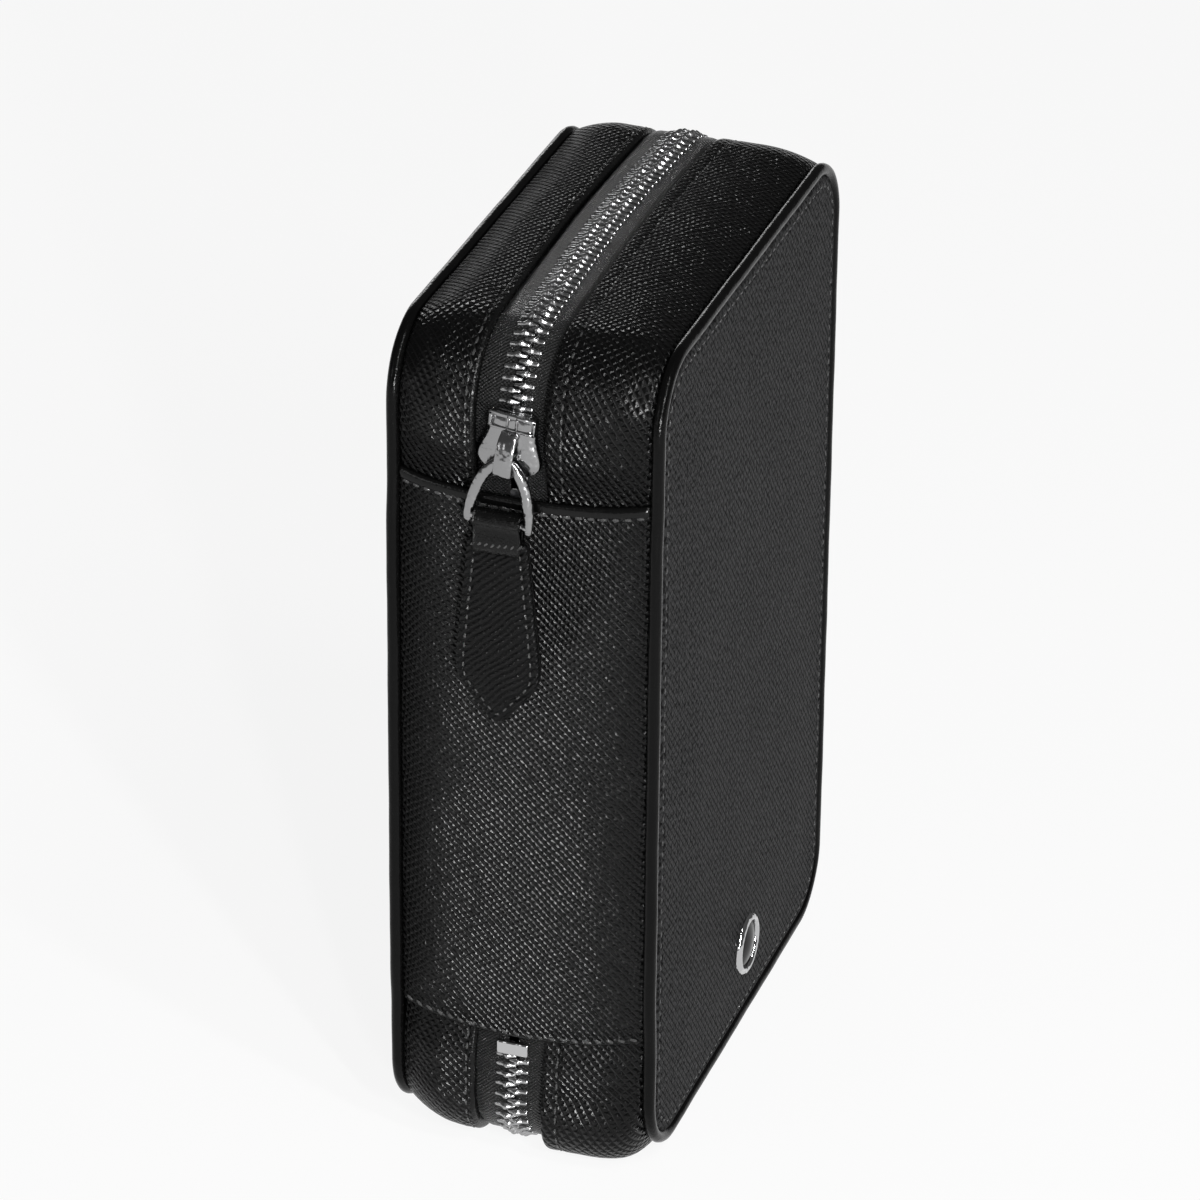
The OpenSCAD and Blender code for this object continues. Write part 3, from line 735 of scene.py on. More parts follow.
def stitch_line(batch, path, normals, pitch, length, r, tilt=0.0):
    """Equally spaced stitches along a polyline: one capsule each, its ends pulled into the leather.

    The normals are one for each point, or one for all.
    """
    sink, ang = 0.16, circle(8)
    s = lengths(path)
    n = max(1, int(round(s[-1] / pitch)))
    at = (np.arange(n) + 0.5) * s[-1] / n
    tangents = at_lengths(at + 0.2, s, path) - at_lengths(at - 0.2, s, path)
    normals = np.broadcast_to(normals, path.shape)
    for p, along, out in zip(at_lengths(at, s, path), tangents, at_lengths(at, s, normals)):
        along, out = unit(along), unit(out)
        across = np.cross(out, along)
        jitter = rng.normal(0, 0.03, 3)
        c, s1 = math.cos(tilt), math.sin(tilt)
        along, across = along * c + across * s1, across * c - along * s1
        circle_by = np.cos(ang)[:, None] * across + np.sin(ang)[:, None] * out * 0.85
        rings, uv = [], []
        for x, thick, dip in STITCH:
            level = dip * r - sink + r * 0.55
            centre = p + along * (x * length + jitter[0]) + out * level + across * jitter[1]
            rings.append(centre + r * thick * circle_by)
            uv.append(pairs(x * length, ang * r * 3))
        batch.add(rings, closed_faces(len(STITCH), len(ang)), uv)


def build_half_stitches(h):
    """Stitches along the gusset's edge, then round the panel."""
    size = {"pitch": 2.45, "length": 1.75, "r": 0.22}
    b = Batch()
    s = EDGE.samples(0.8, 40, SEAM_TOP + 1.0, EDGE.total + SEAM_LOW - 1.2)
    fr = EDGE.frame(s)
    d = h.gap + h.stitch
    path = beside(h, fr, gusset_level(h, s, np.array(d)) - 0.12, drifted(h, s, d))
    normals = np.stack([fr[:, 2], np.full(len(s), -0.05 * h.sign), fr[:, 3]], -1)
    stitch_line(b, path, normals, **size)
    ring = resample(panel_outline(STITCH_IN, 16), 1.0)
    ring = np.vstack([ring, ring[:1]])
    path = world(h, ring[:, 0], ring[:, 1], h.depth - BEAD + float(panel_level(STITCH_IN)))
    stitch_line(b, path, (0.0, h.sign, 0.0), **size)
    place(b.build(h.name + "_stitches", "thread"), [], h.body)


def build_spine_stitches(h):
    """A row along each seam of the spine panel."""
    b = Batch()
    ds = np.linspace(0.1, h.valley - 0.5, 80)
    t = ds / h.valley
    for which, off, lift, tilt in (("top", -2.4, 0.02, 0.0), ("low", 1.0, 0.05, -0.35)):
        path = world(h, -W / 2 - (spine_o(h, ds) - 0.12 + lift), seam_v(which, t) + off, ds)
        normals = np.stack([0 * t - 1.0, h.sign * 0.25 * t ** 3, 0 * t], -1)
        stitch_line(b, path, normals, 2.2, 1.9, 0.3, tilt)
    place(b.build(h.name + "_spine_stitches", "thread"), [], over_fold(h))


# ---- Zip ----
TOOTH_PITCH = 2.0
# along a tooth, from its root in the tape to its tip: place, half width and half height
TOOTH = [(3.3, 0.28, 0.35), (3.2, 0.42, 0.52), (2.9, 0.48, 0.60), (2.3, 0.50, 0.64), (1.9, 0.52, 0.74),
         (1.55, 0.58, 0.98), (1.25, 0.64, 1.18), (0.95, 0.66, 1.24), (0.65, 0.60, 1.10), (0.3, 0.50, 0.86),
         (-0.1, 0.46, 0.74), (-0.5, 0.42, 0.62), (-0.75, 0.30, 0.44), (-0.9, 0.14, 0.22)]
# across the tape, with the cord that the teeth clamp on: distance from the zip line and level
TAPE = [(0.95, -0.12), (1.0, 0.12), (1.3, 0.26), (1.9, 0.28), (2.7, 0.26), (3.2, 0.18), (3.8, 0.2),
        (4.6, 0.2), (5.4, 0.17), (6.2, 0.12), (7.2, 0.08), (8.4, 0.05), (9.4, 0.0)]
TAPE_T = 0.5
CHAIN_PUFF = 1.2                        # swell of the chain round the lower spine corner


def powered(wave, power):
    return np.sign(wave) * np.abs(wave) ** power


def chain_piece(h, name, s0, s1, body, nodes=None, tape_from=None, tape_to=None):
    """One side's teeth from s0 to s1 along the chain, and the tape they stand on."""
    batch = Batch()
    phase = 0.0 if h.name == "front" else TOOTH_PITCH / 2
    first = math.ceil((s0 - phase) / TOOTH_PITCH - 1e-6)
    ang = circle(14)
    px, py = powered(np.cos(ang), 0.72)[:, None], powered(np.sin(ang), 0.85)[:, None]
    for s in np.arange(first * TOOTH_PITCH + phase, s1, TOOTH_PITCH):
        u, v, nu, nv = CHAIN.at(s)
        rise, drift = chain_shift(s)
        o = CHAIN_O + (rise + CHAIN_PUFF * low_puff(s, CHAIN))
        centre = world(h, u + nu * o, v + nv * o, h.sign * drift)
        along, out, across = np.array([nv, 0, -nu]), np.array([nu, 0, nv]), np.array([0, h.sign, 0.0])
        batch.add([centre + across * d + (px * along * a + py * out * b) for d, a, b in TOOTH],
                  closed_faces(len(TOOTH), len(ang)))
    teeth = batch.build(f"{h.name}_{name}_teeth", "teeth")
    prof = np.array([p for p in TAPE if p[0] < h.gap + 2.4])
    ss = CHAIN.samples(1.2, 24, s0 if tape_from is None else tape_from, s1 if tape_to is None else tape_to)
    fr = CHAIN.frame(ss)
    rise, drift = (x[:, None] for x in chain_shift(ss))
    near = smoothstep((h.gap + 1.5 - prof[:, 0]) / 3.0)
    o = CHAIN_O + prof[:, 1] + rise * (0.35 + 0.65 * near) + CHAIN_PUFF * low_puff(ss, CHAIN)[:, None]
    d = prof[:, 0] + h.sign * drift * near
    pts = np.concatenate([beside(h, fr, o, d), beside(h, fr, o - TAPE_T, d)[:, ::-1]], axis=1)
    around = np.concatenate([d[0], d[0, ::-1] + 20])
    faces = grid_faces(len(ss), len(around), False, True)
    tape = make(f"{h.name}_{name}_tape", pts, faces, "tape", pairs(around[None, :], ss[:, None]))
    place(teeth, [nodes + "_teeth"] if nodes else [], body)
    place(tape, [nodes + "_tape"] if nodes else [], body)


def build_zip(h):
    def at(s):
        u, v, nu, nv = CHAIN.at(s)
        return tuple(MM * x for x in world(h, u + nu * CHAIN_O, v + nv * CHAIN_O, 1.5))

    turn = ("spine", h.body, at(S_HEAD_END), at(S_HEAD_END + 16))
    bend = (h.body, "spine", at(S_FOOT - 14), at(S_FOOT))
    chain_piece(h, "zip_head", S_HEAD, S_HEAD_END, "spine", "zip_head", tape_from=SEAM_TOP - 1.5)
    chain_piece(h, "zip_turn", S_HEAD_END, S_TWIST_END, turn)
    chain_piece(h, "zip_main", S_TWIST_END, S_FOOT_TWIST, h.body, h.name + "_zip")
    chain_piece(h, "zip_bend", S_FOOT_TWIST, S_FOOT, bend)
    chain_piece(h, "zip_foot", S_FOOT, S_STOP, "spine", "zip_foot", tape_to=CHAIN.total + SEAM_LOW + 1.8)


def prism(outline, layers):
    """Stacked copies of an outline. A layer is (inset, height), with a share it shrinks by if given."""
    outline = np.asarray(outline, float)
    e1, e0 = np.roll(outline, -1, 0) - outline, outline - np.roll(outline, 1, 0)
    e1 /= np.linalg.norm(e1, axis=1)[:, None] + 1e-9
    e0 /= np.linalg.norm(e0, axis=1)[:, None] + 1e-9
    n1 = np.stack([-e1[:, 1], e1[:, 0]], -1)
    inward = np.stack([-e0[:, 1], e0[:, 0]], -1) + n1
    inward /= np.maximum((inward * n1).sum(1), 0.35)[:, None]
    middle = outline.mean(0)
    v = []
    for inset, z, *shrink in layers:
        ring = outline + inward * inset
        ring = ring + (middle - ring) * (shrink[0] if shrink else 0.0)
        v.append(np.column_stack([ring, np.full(len(outline), z)]))
    return np.array(v).reshape(-1, 3), closed_faces(len(layers), len(outline))


def round_outline(pts, radius, n=6):
    """Rounds the corners of a polygon that runs anticlockwise, by one radius or one for each corner."""
    pts = np.asarray(pts, float)
    out = []
    for i, b in enumerate(pts):
        r = radius[i] if isinstance(radius, list) else radius
        d0, d1 = pts[i - 1] - b, pts[(i + 1) % len(pts)] - b
        l0, l1 = np.linalg.norm(d0), np.linalg.norm(d1)
        cut = min(r, 0.45 * l0, 0.45 * l1)
        p0, p1 = b + d0 / l0 * cut, b + d1 / l1 * cut
        for t in np.arange(n + 1) / n:
            out.append((1 - t) ** 2 * p0 + 2 * t * (1 - t) * b + t * t * p1)
    return np.array(out)


def box(x0, x1, y0, y1):
    return [(x0, y0), (x1, y0), (x1, y1), (x0, y1)]


def leaning(a, b, o, lean):
    """Points of a slider piece, turned a little in its channel, as the pull's weight leaves it."""
    return on_spine(a + lean * (b - SLIDER_MID - 1.2), b - lean * a, o)


def spine_piece(name, mat, nodes, body, prisms, lean=0.0):
    """A piece on the spine side made of prisms, each an outline with its layers."""
    b = Batch()
    for outline, layers in prisms:
        v, f = prism(outline, layers)
        b.add(leaning(*v.T, lean), f, v[:, :2])
    place(b.build(name, mat), nodes, body)


def build_stops():
    mid = SEAM_LOW - 2.6 - 1.45
    stop = round_outline(box(-3.15, 3.15, mid - 1.45, mid + 1.45), 0.5)
    layers = [(0.25, -1.9), (0.0, -1.6), (0.0, 0.25), (0.12, 0.45), (0.35, 0.55)]
    spine_piece("bottom_stop", "mirror", ["zip_bottom_stop"], "spine", [(stop, layers)])
    layers = [(0.3, -1.8), (0.0, -1.5), (0.0, 0.1), (0.3, 0.4)]
    low, high = SLIDER_FRONT - 2, SLIDER_FRONT - 0.3
    stops = [(round_outline(box(x - 1.1, x + 1.1, low, high), 0.4), layers) for x in (-1.6, 1.6)]
    spine_piece("top_stops", "teeth", ["zip_top_stops"], "spine", stops)


# ---- Slider ----
SLIDER_LEAN, RING_LEAN, PULL_SIDE = 0.12, 0.11, -1.65


def build_slider():
    m, f, k = SLIDER_MID, SLIDER_FRONT, SLIDER_BACK
    flank = [(4.3, k), (4.35, m + 3.4), (4.55, m + 1.6), (5.3, m - 0.6), (5.9, m - 2.6), (5.95, m - 3.6),
             (5.5, m - 4.6), (4.4, m - 5.5), (3.0, f)]
    outline = round_outline([(-x, y) for x, y in flank] + flank[::-1], 0.9, 4)
    # upper plate, its edge turned down over the chain, then the lower plate and the post between the rows
    prisms = [
        (outline, [(0.15, -0.25), (0.0, 0.1), (0.0, 1.15), (0.1, 1.45), (0.35, 1.75), (0.65, 1.92),
                   (0.65, 2.12, 0.2), (0.65, 2.28, 0.45), (0.65, 2.36, 0.75)]),
        (outline, [(1.0, -3.4), (0.3, -3.3), (0.0, -3.0), (0.0, -1.55), (0.15, -1.3)]),
        ([(0, f + 0.3), (0.9, f + 1.8), (0, f + 3.6), (-0.9, f + 1.8)], [(0, -3.3), (0, 1.6)]),
    ]
    # raised frame of the rear mouth
    bars = ((-4.4, 4.4, k - 0.75, k + 0.1), (-4.4, 4.4, k - 3.2, k - 2.6), (-4.4, -3.75, k - 3.2, k),
            (3.75, 4.4, k - 3.2, k), (-1.1, -0.6, k - 3.2, k), (0.6, 1.1, k - 3.2, k))
    prisms += [(round_outline(box(*bar), 0.15, 2), [(0.0, 1.2), (0.0, 2.3), (0.15, 2.5)]) for bar in bars]
    spine_piece("slider_shell", "chrome", ["slider_body"], "slider", prisms, SLIDER_LEAN)

    # bridge: an arch swept across its width, with softened sides
    top, r0, r1 = HANG + ARCH_RISE, f + 0.1, k - 3.0
    outer = [(r0, 1.6), (r0 - 0.05, 3.2), (r0 + 0.35, 4.5), (r0 + 1.3, top), (r0 + 3.5, top + 0.05),
             (r1 - 2.6, top - 0.35), (r1 - 1.0, top - 1.3), (r1, 2.0)]
    inner = [(r1 - 1.1, 1.9), (r1 - 1.9, top - 1.7), (r1 - 3.1, top - 1.0), (r0 + 3.5, top - 0.75),
             (r0 + 1.9, top - 0.8), (r0 + 1.45, 3.6), (r0 + 1.4, 1.6)]
    side = [(0.36, -1.7), (0.24, -1.63), (0.12, -1.42), (0.04, -1.0), (0.0, -0.4)]
    v, faces = prism(round_outline(outer + inner, 0.7, 4)[::-1], side + [(x, -z) for x, z in side[::-1]])
    pts = leaning(v[:, 2], v[:, 0], v[:, 1], SLIDER_LEAN)
    arch = make("slider_arch", pts, faces, "chrome", v[:, :2])
    place(arch, ["slider_bridge"], "slider")


def catmull(p, n):
    """A smooth curve through the points, n steps from one to the next."""
    out = []
    for i in range(len(p) - 1):
        p0, p1, p2, p3 = p[max(i - 1, 0)], p[i], p[i + 1], p[min(i + 2, len(p) - 1)]
        for t in np.arange(n) / n:
            bend = (2 * p0 - 5 * p1 + 4 * p2 - p3) * t ** 2 + (-p0 + 3 * p1 - 3 * p2 + p3) * t ** 3
            out.append(0.5 * ((2 * p1) + (-p0 + p2) * t + bend))
    return np.array(out + [p[-1]])


def build_ring():
    """Arch with splayed legs that end in rounded toes; the lower bar joins them."""
    b = Batch()
    # centre line (across, up), half width across the band and half thickness, from one toe to the other
    leg = [(5.6, BAR_V - 0.75, 0.9, 0.7), (5.57, BAR_V + 0.8, 1.0, 0.8), (5.3, BAR_V + 3.0, 1.04, 0.85),
           (4.72, BAR_V + 5.6, 1.06, 0.85), (3.8, BAR_V + 8.2, 1.06, 0.85), (2.5, BAR_V + 10.3, 1.0, 0.8),
           (0.9, RING_V + 0.35, 0.85, 0.78)]
    line = catmull(np.array(leg + [(-x, *rest) for x, *rest in leg[::-1]]), 7)
    ang = circle(16)
    ca, sa = np.cos(ang), np.sin(ang)
    qx, qy = powered(ca, 0.92), powered(sa, 0.92)
    tangents = np.gradient(line[:, :2], axis=0)
    rings = []
    for (x, y, wide, thick), t in zip(line, tangents):
        t = unit(t)
        xy = np.array([x, y]) + np.outer(qx * wide, [-t[1], t[0]])
        rings.append(leaning(*xy.T, HANG + qy * thick, RING_LEAN))
    b.add(rings, closed_faces(len(rings), len(ang)))
    lat, lon = np.linspace(0, math.pi, 8), circle(14)
    for side in (-1, 1):
        # rounded toe
        x = side * 5.6 + 0.95 * np.outer(np.sin(lat), np.cos(lon))
        y = BAR_V - 0.75 + 0.8 * np.outer(np.cos(lat), np.ones(len(lon)))
        o = HANG + 0.64 * np.outer(np.sin(lat), np.sin(lon))
        b.add(leaning(x, y, o, RING_LEAN), grid_faces(len(lat), len(lon), False, True))
    xs, bar_r = np.linspace(-5.7, 5.7, 20), 0.78
    bar = [leaning(x, BAR_V + bar_r * ca, HANG + bar_r * sa, RING_LEAN) for x in xs]
    b.add(bar, grid_faces(len(xs), len(ang), False, True))
    place(b.build("ring_band", "chrome"), ["pull_ring"], "ring")


# ---- Pull ----
PULL_TOP = BAR_V - 3.8
PULL_TIP = PULL_TOP - 37.0
PULL_EDGE = [(1.2, PULL_TIP + 0.2), (7.75, PULL_TIP + 8.0), (7.95, PULL_TIP + 12.2), (5.6, PULL_TOP)]
# distance inside the edge and level, for each of the pull's two leathers
PULL_SIDES = (
    ("pull_face", "pull_outer_leather", "pull", "grained_leather",
     [(0, 0.72), (0.12, 0.95), (0.4, 1.13), (0.8, 1.16), (1.1, 1.08), (1.45, 0.97), (1.8, 1.06), (2.3, 1.24),
      (3.2, 1.36), (5, 1.42)]),
    ("pull_backing", "pull_inner_leather", "satin", "smooth_leather",
     [(0, -0.72), (0.12, -0.95), (0.4, -1.12), (1.1, -1.16), (1.45, -1.1), (1.9, -1.18), (5, -1.2)]),
)


def build_pull_leathers(outline):
    """Two domed leaves with the same outline, each closed by a thin lip where they meet."""
    side = outline[outline[:, 0] >= 0]
    side = side[np.argsort(side[:, 1])]
    ys = np.concatenate([
        [PULL_TIP + 0.22], PULL_TIP + np.array([0.3, 0.5, 0.9, 1.4]),
        np.linspace(PULL_TIP + 2, PULL_TOP - 1.6, 60), PULL_TOP - np.array([1.2, 0.8, 0.45, 0.2, 0.06, 0.0])
    ])
    across = np.sin(np.linspace(-math.pi / 2, math.pi / 2, 61))
    x = np.interp(ys, side[:, 1], side[:, 0])[:, None] * across[None, :]
    y = np.broadcast_to(ys[:, None], x.shape)
    flat, dense = np.stack([x.ravel(), y.ravel()], -1), resample(outline, 0.12)
    inside = np.sqrt(((flat[:, None, :] - dense[None, :, :]) ** 2).sum(-1)).min(1).reshape(x.shape)
    n, m = x.shape
    index = np.arange(n * m).reshape(n, m)
    edge = [*index[:, 0], *index[-1, 1:], *index[-2::-1, -1], *index[0, -2:0:-1]]
    c = len(edge)
    faces = grid_faces(n, m)
    faces += [(edge[i], edge[(i + 1) % c], n * m + (i + 1) % c, n * m + i) for i in range(c)]
    faces.append(tuple(n * m + i for i in range(c)))
    for name, node, mat, slot, levels in PULL_SIDES:
        z = np.interp(inside, *zip(*levels))
        v = np.stack([x, y, z], -1).reshape(-1, 3)
        lip = v[edge].copy()
        lip[:, 2] = 0.015 * np.sign(levels[0][1])
        v = np.vstack([v, lip])
        o = make(name, on_spine(v[:, 0] + PULL_SIDE, v[:, 1], HANG + v[:, 2]), faces, mat, v[:, :2])
        place(o, [node], "pull")


def build_pull_strap():
    """Loop round the bar: a strip that goes up, over the bar and down behind."""
    def bend(r, start, end):
        turn = np.radians(np.linspace(start, end, 14))
        return list(zip(BAR_V + r * np.sin(turn), r * np.cos(turn)))

    front = np.linspace(PULL_TOP - 2.6, BAR_V - 0.6, 6)
    prof = [(y, 1.25 + 0.35 * dent(y, PULL_TOP - 0.6, 1.0)) for y in front]
    prof += bend(1.9, -10, 190)
    prof += [(y, -1.25) for y in np.linspace(BAR_V - 0.6, PULL_TOP - 1.0, 5)]
    prof += [(y, -0.15) for y in np.linspace(PULL_TOP - 1.0, BAR_V - 0.6, 4)]
    prof += bend(0.88, 200, -20)
    prof += [(y, 0.15) for y in np.linspace(BAR_V - 0.8, PULL_TOP - 2.6, 4)]
    side = [(0.25, -4.35), (0.08, -4.25), (0.0, -4.0)]
    v, faces = prism(prof, side + [(x, -z) for x, z in side[::-1]])
    pts = on_spine(v[:, 2] + PULL_SIDE, v[:, 0], HANG + v[:, 1])
    o = make("pull_strap", pts, faces, "satin", np.stack([v[:, 2], v[:, 0]], -1))
    place(o, ["pull_loop"], "pull")


def build_pull():
    left = [(-x, y) for x, y in PULL_EDGE[::-1]]
    radii = [0.5, 1.5, 2.2, 1.2]
    outline = resample(round_outline(left + PULL_EDGE, radii + radii[::-1], 5), 0.8)
    build_pull_leathers(outline)
    build_pull_strap()
    # border stitches from one upper end round the tip to the other, and a slanted row across the strap
    b = Batch()
    ring = resample(prism(outline, [(1.45, 0.0)])[0][:, :2], 0.5)
    below = ring[:, 1] < PULL_TOP - 1.2
    start = int(np.argmax(below & ~np.roll(below, 1)))
    ring = np.roll(ring, -start, 0)[:below.sum()]
    path = on_spine(ring[:, 0] + PULL_SIDE, ring[:, 1], HANG + 1.02)
    stitch_line(b, path, TO_SPINE_SIDE, 1.95, 1.4, 0.2)
    steps = np.linspace(-1, 1, 12)
    path = on_spine(5.0 * steps + PULL_SIDE, PULL_TOP - 0.6 + 0.2 * steps, HANG + 1.52)
    stitch_line(b, path, TO_SPINE_SIDE, 1.25, 1.5, 0.2, 0.8)
    place(b.build("pull_stitches", "thread"), [], "pull")


# ---- Emblem ----
EMBLEM_U, EMBLEM_V, DOME_R = 3.0, 17.5 - H / 2, 4.7
EMBLEM_RIM = [(6.2, -0.2), (6.25, 0.25), (6.15, 0.75), (5.85, 1.15), (5.4, 1.35), (5.0, 1.25), (4.78, 1.0),
              (4.7, 0.7), (4.68, 0.3)]


def build_emblem():
    h = HALVES[0]
    ang = circle(96)
    m = len(ang)

    def lathe(name, mat, node, profile, faces):
        """A turned piece on the front panel: profile of (radius, height)."""
        r, z = np.array(profile).T[:, :, None]
        level = h.depth - BEAD + 0.95 + z
        pts = world(h, EMBLEM_U + r * np.cos(ang), EMBLEM_V + r * np.sin(ang), level)
        o = make(name, pts, faces, mat, np.zeros((len(profile) * m, 2)))
        place(o, [node], h.body)

    lathe("emblem_ring", "mirror", "emblem_rim", EMBLEM_RIM, grid_faces(len(EMBLEM_RIM), m, False, True))
    dome = [(4.72, 0.45)] + [(r, 0.55 + 1.0 * (1 - (r / DOME_R) ** 2)) for r in np.linspace(4.6, 0.05, 16)]
    cap = tuple((len(dome) - 1) * m + i for i in range(m))
    lathe("emblem_centre", "dome", "emblem_dome", dome, grid_faces(len(dome), m, False, True) + [cap])


# ---- Inside ----
PEN_PITCH = (W - 14) / 5                # five pens lie side by side
TRAY_W = PEN_PITCH * 5 / 2 + 1.6        # half width of a tray
TRAY_L = H / 2 - 13                     # half length of a tray


def lining_base(h):
    """Depth of the lining's face on a panel's board."""
    return h.depth - BEAD + PANEL_RISE - LEATHER_T - WELT_T - PANEL_BOARD_T - LINING_T


def build_lining(h):
    """Wall lining from the tape to the panel, the corner between them rounded, and the panel's lining."""
    base = lining_base(h)
    ss = EDGE.samples(2.5, 14)[:-1]
    ds = np.concatenate([
        [h.gap + 0.6], np.linspace(FOLD, base - 1.6, 16), [base - 1.0, base - 0.45, base - 0.12, base]
    ])
    rows, uvs = [], []
    for s, (u, v, nu, nv) in zip(ss, EDGE.frame(ss)):
        mid = float(smoothstep((v - SEAM_LOW + 2) / 4) * smoothstep((SEAM_TOP + 2 - v) / 4)) * (nu < -0.99)
        o = gusset_o(h, ds) * (1 - mid) + (spine_o(h, ds) - 0.2) * mid - WALL_T
        o[0] -= 0.1
        o[-4:] = o[-5] + np.array([-0.15, -0.5, -1.0, -1.8])
        dd = np.maximum(ds, FOLD) if mid > 0.5 else ds
        rows.append(world(h, u + nu * o, v + nv * o, dd))
        uvs.append(pairs(dd, s))
    o = make(h.name + "_wall_cloth", rows, grid_faces(len(ss), len(ds), True), "lining", uvs)
    place(o, [h.name + "_wall_lining", h.name + "_wall_board"], h.body)
    inset = 4.2
    out = rounded_shape(W - 2 * inset, H - 2 * inset, R - inset, 8)
    v, f = prism(out, [(0.0, base + 0.4), (0.0, base)])
    o = make(h.name + "_floor_cloth", world(h, v[:, 0], v[:, 1], v[:, 2]), f, "lining", v[:, :2])
    place(o, [h.name + "_panel_lining", h.name + "_panel_board"], h.body)


def between_pens(x):
    """Place across the tray, counted in pens: whole numbers are the ridges."""
    return (x + PEN_PITCH * 2.5) / PEN_PITCH


def build_tray(h):
    """A pad with rounded ridges between the pens."""
    base = lining_base(h)
    xs = np.linspace(-TRAY_W, TRAY_W, 241)
    pen = between_pens(xs)
    near = np.abs(pen - np.round(pen)) * PEN_PITCH
    ridge = TRAY_RIDGE * smoothstep((2.1 - near) / 1.7)
    trough = 0.5 * np.cos(np.clip((near - 2) / (PEN_PITCH / 2 - 2), 0, 1) * math.pi / 2)
    tall = (TRAY_FLOOR + np.maximum(ridge, trough)) * np.sqrt(smoothstep((TRAY_W - np.abs(xs)) / 0.7))
    ends = np.array([0.0, 0.15, 0.5, 1.2])
    vs = np.concatenate([ends - TRAY_L, np.linspace(3 - TRAY_L, TRAY_L - 3, 40), TRAY_L - ends[::-1]])
    fall = np.sqrt(smoothstep((TRAY_L - np.abs(vs)) / 1.4))[:, None]
    d = base - tall * fall + 0.05 * np.sin(vs * 0.3)[:, None] * fall
    uv = pairs(xs[None, :], vs[:, None])
    o = make(h.name + "_tray", world(h, xs, vs[:, None], d), grid_faces(len(vs), len(xs)), "tray", uv)
    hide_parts(h.name + "_pen_pad")
    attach(o, h.body)


# across a strap: place along the pens and height
STRAP = [(-7.0, 0.0), (-6.85, 0.3), (-6.4, 0.42), (-3, 0.45), (0, 0.45), (3, 0.45), (6.4, 0.42), (6.85, 0.3),
         (7.0, 0.0), (6.85, -0.3), (6.4, -0.42), (-6.4, -0.42), (-6.85, -0.3)]


def build_straps(h):
    """Elastic bands over the ridges, sagging a little at each pen, their ends down beside the tray."""
    base = lining_base(h)
    low = base - TRAY_FLOOR - TRAY_RIDGE - STRAP_T
    xs = np.linspace(-TRAY_W - 0.2, TRAY_W + 0.2, 120)
    pen = between_pens(xs)
    top = low + 0.05 + 0.28 * np.sin(np.abs(pen - np.floor(pen)) * math.pi)
    end = [(TRAY_W + 0.6, low + 0.3), (TRAY_W + 0.75, low + 0.9), (TRAY_W + 0.75, base - 0.05)]
    line = np.array([(-x, d) for x, d in end[::-1]] + list(zip(xs, top)) + end)
    slope = np.gradient(line, axis=0)
    out = np.stack([slope[:, 1], -slope[:, 0]], -1)
    out /= np.linalg.norm(out, axis=1)[:, None]
    along, thick = np.array(STRAP).T
    x, d = (line[:, i, None] + out[:, i, None] * thick for i in (0, 1))
    uv = pairs(lengths(line)[:, None], along)
    for name, v0 in (("upper", 38.0), ("lower", -38.0)):
        faces = grid_faces(len(line), len(STRAP), False, True)
        o = make(f"{h.name}_{name}_elastic", world(h, x, v0 + along, d + 0.4), faces, "elastic", uv)
        place(o, [f"{h.name}_{name}_strap"], h.body)


def build_spine_inside():
    """The spine's lining, and the divider page: a padded leaf with a pressed border."""
    layers = [(0.0, SPINE_O - 1.6), (0.0, SPINE_O - 2.7), (0.2, SPINE_O - WALL_T)]
    cloth = (box(-FOLD, FOLD, SEAM_LOW, SEAM_TOP), layers)
    spine_piece("spine_cloth", "lining", ["spine_lining", "spine_board"], "spine", [cloth])
    # the page's edge on the hinge side, outside the outline
    hinge_o = SPINE_O - WALL_T - 0.1 - 0.8
    w, tall = W - 10, H - 37
    leaf = resample(rounded_shape(w, tall, R, 10), 2.5)
    upper = [(0.5, 0.28), (0.12, 0.42), (0.0, 0.62), (0.0, 0.98), (0.12, 1.18), (0.5, 1.32), (1.6, 1.36),
             (2.6, 1.3), (3.4, 1.42), (8, 1.6)]
    lower = [(0.5, 0.28), (1.6, 0.24), (2.6, 0.3), (3.4, 0.18), (8, 0.0)]
    b = Batch()
    for layers in (upper, lower):
        v, f = prism(leaf, layers)
        p = [CX - W / 2 - hinge_o + w / 2 + v[:, 0], ZIP_Y + (v[:, 2] - 0.8) * 0.95, MZ + v[:, 1]]
        b.add(np.stack(p, -1), f, v[:, :2])
    o = b.build("page_leaf", "lining")
    place(o, ["divider_page"], "divider")


for half in HALVES:
    for build in (build_gusset, build_piping, build_panel, build_spine, build_half_stitches,
                  build_spine_stitches, build_zip, build_lining, build_tray, build_straps):
        build(half)
build_stops()
build_slider()
build_ring()
build_pull()
build_emblem()
build_spine_inside()

# ---- Stage, light and camera: metres and watts ----
scene = bpy.context.scene
FLOOR_HALF = 4.0
FLOOR_GLOW = 0.88                       # share of plain white in what the camera sees of the floor

paint = Nodes("floor_paint")
paint.set(Base__Color=grey(0.9), Roughness=0.9)
path = paint.new("ShaderNodeLightPath").outputs
seen = paint.math("MAXIMUM", path["Is Camera Ray"], path["Is Glossy Ray"])
seen = paint.math("MAXIMUM", seen, path["Is Transmission Ray"])
glow = paint.new("ShaderNodeEmission", Color=grey(1), Strength=1.0)
mix = paint.new("ShaderNodeMixShader")
paint.link(paint.math("MULTIPLY", seen, FLOOR_GLOW), mix.inputs[0])
paint.link(paint.shader.outputs[0], mix.inputs[1])
paint.link(glow.outputs[0], mix.inputs[2])
paint.link(mix.outputs[0], paint.tree.nodes["Material Output"].inputs["Surface"])

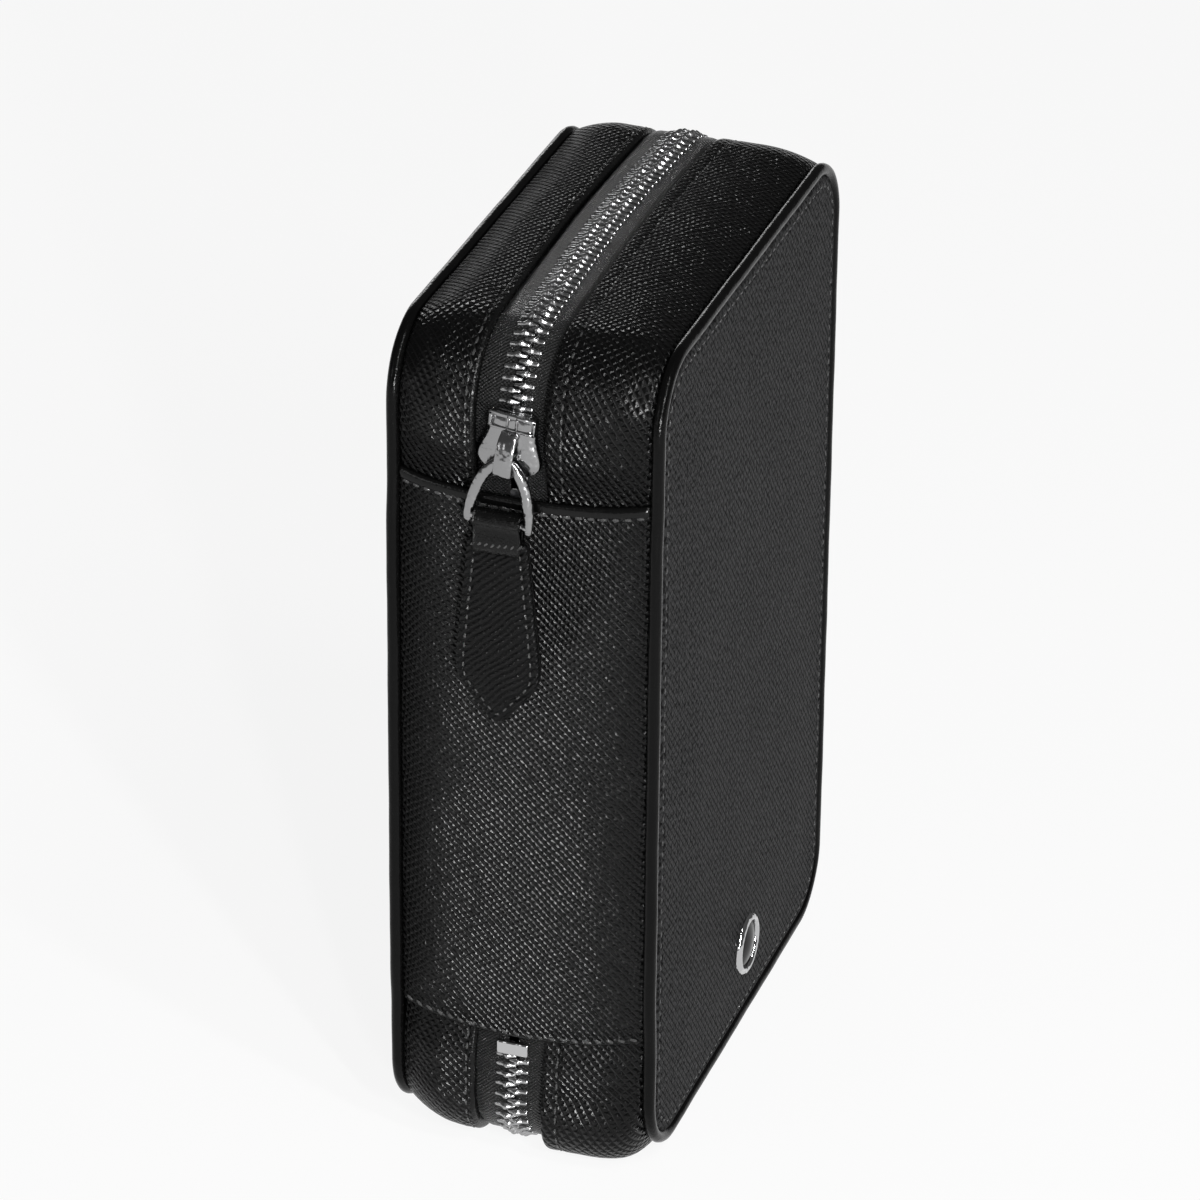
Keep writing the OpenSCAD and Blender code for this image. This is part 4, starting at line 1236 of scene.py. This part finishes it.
floor_mesh = bpy.data.meshes.new("floor")
floor_mesh.from_pydata([(x, y, 0.0) for x, y in box(-FLOOR_HALF, FLOOR_HALF, -FLOOR_HALF, FLOOR_HALF)],
                       [], [(0, 1, 2, 3)])
floor_mesh.materials.append(paint.mat)
floor = bpy.data.objects.new("floor", floor_mesh)
scene.collection.objects.link(floor)

AIM = Vector((0.0, 0.0, 0.09))
# name, place, width, height and power: tall narrow lamps in an arc, then two soft boxes
LAMPS = (
    ("key_low", (-0.99, -0.55, 0.25), 0.05, 0.34, 12.0),
    ("key_mid", (-0.72, -0.62, 0.72), 0.045, 0.34, 5.5),
    ("key_high", (-0.33, -0.58, 1.02), 0.05, 0.34, 3.2),
    ("left_box", (-1.0, 0.6, 0.5), 0.3, 0.4, 1.0),
    ("far_box", (1.0, 0.62, 0.36), 0.4, 0.2, 1.3),
)
for name, spot, wide, tall, power in LAMPS:
    lamp = bpy.data.lights.new(name, "AREA")
    lamp.shape, lamp.size, lamp.size_y, lamp.energy = "RECTANGLE", wide, tall, power
    o = bpy.data.objects.new(name, lamp)
    o.location = spot
    o.rotation_euler = (AIM - Vector(spot)).to_track_quat("-Z", "Y").to_euler()
    scene.collection.objects.link(o)

scene.world = bpy.data.worlds.new("studio")
scene.world.use_nodes = True
sky = scene.world.node_tree.nodes["Background"].inputs
sky["Color"].default_value, sky["Strength"].default_value = grey(1), 0.12

FRAME_PX, FOCAL_PX, SENSOR = 1200, 6089.31, 36.0
cam_data = bpy.data.cameras.new("camera")
cam = bpy.data.objects.new("camera", cam_data)
scene.collection.objects.link(cam)
scene.camera = cam
cam_data.sensor_width = SENSOR
cam_data.lens = FOCAL_PX / FRAME_PX * SENSOR
cam_data.clip_start, cam_data.clip_end = 0.05, 20.0
right = Vector((0.32516, -0.945618, 0.008807)).normalized()
ahead = Vector((0.8329, 0.281965, -0.476207)).normalized()
up = right.cross(ahead).normalized()
ahead = up.cross(right).normalized()
turn = Matrix((right, up, -ahead)).transposed()
cam.matrix_world = Matrix.Translation(Vector((-959.455, -322.064, 640.724)) * MM) @ turn.to_4x4()

scene.view_settings.view_transform = "Standard"
scene.view_settings.look = "None"
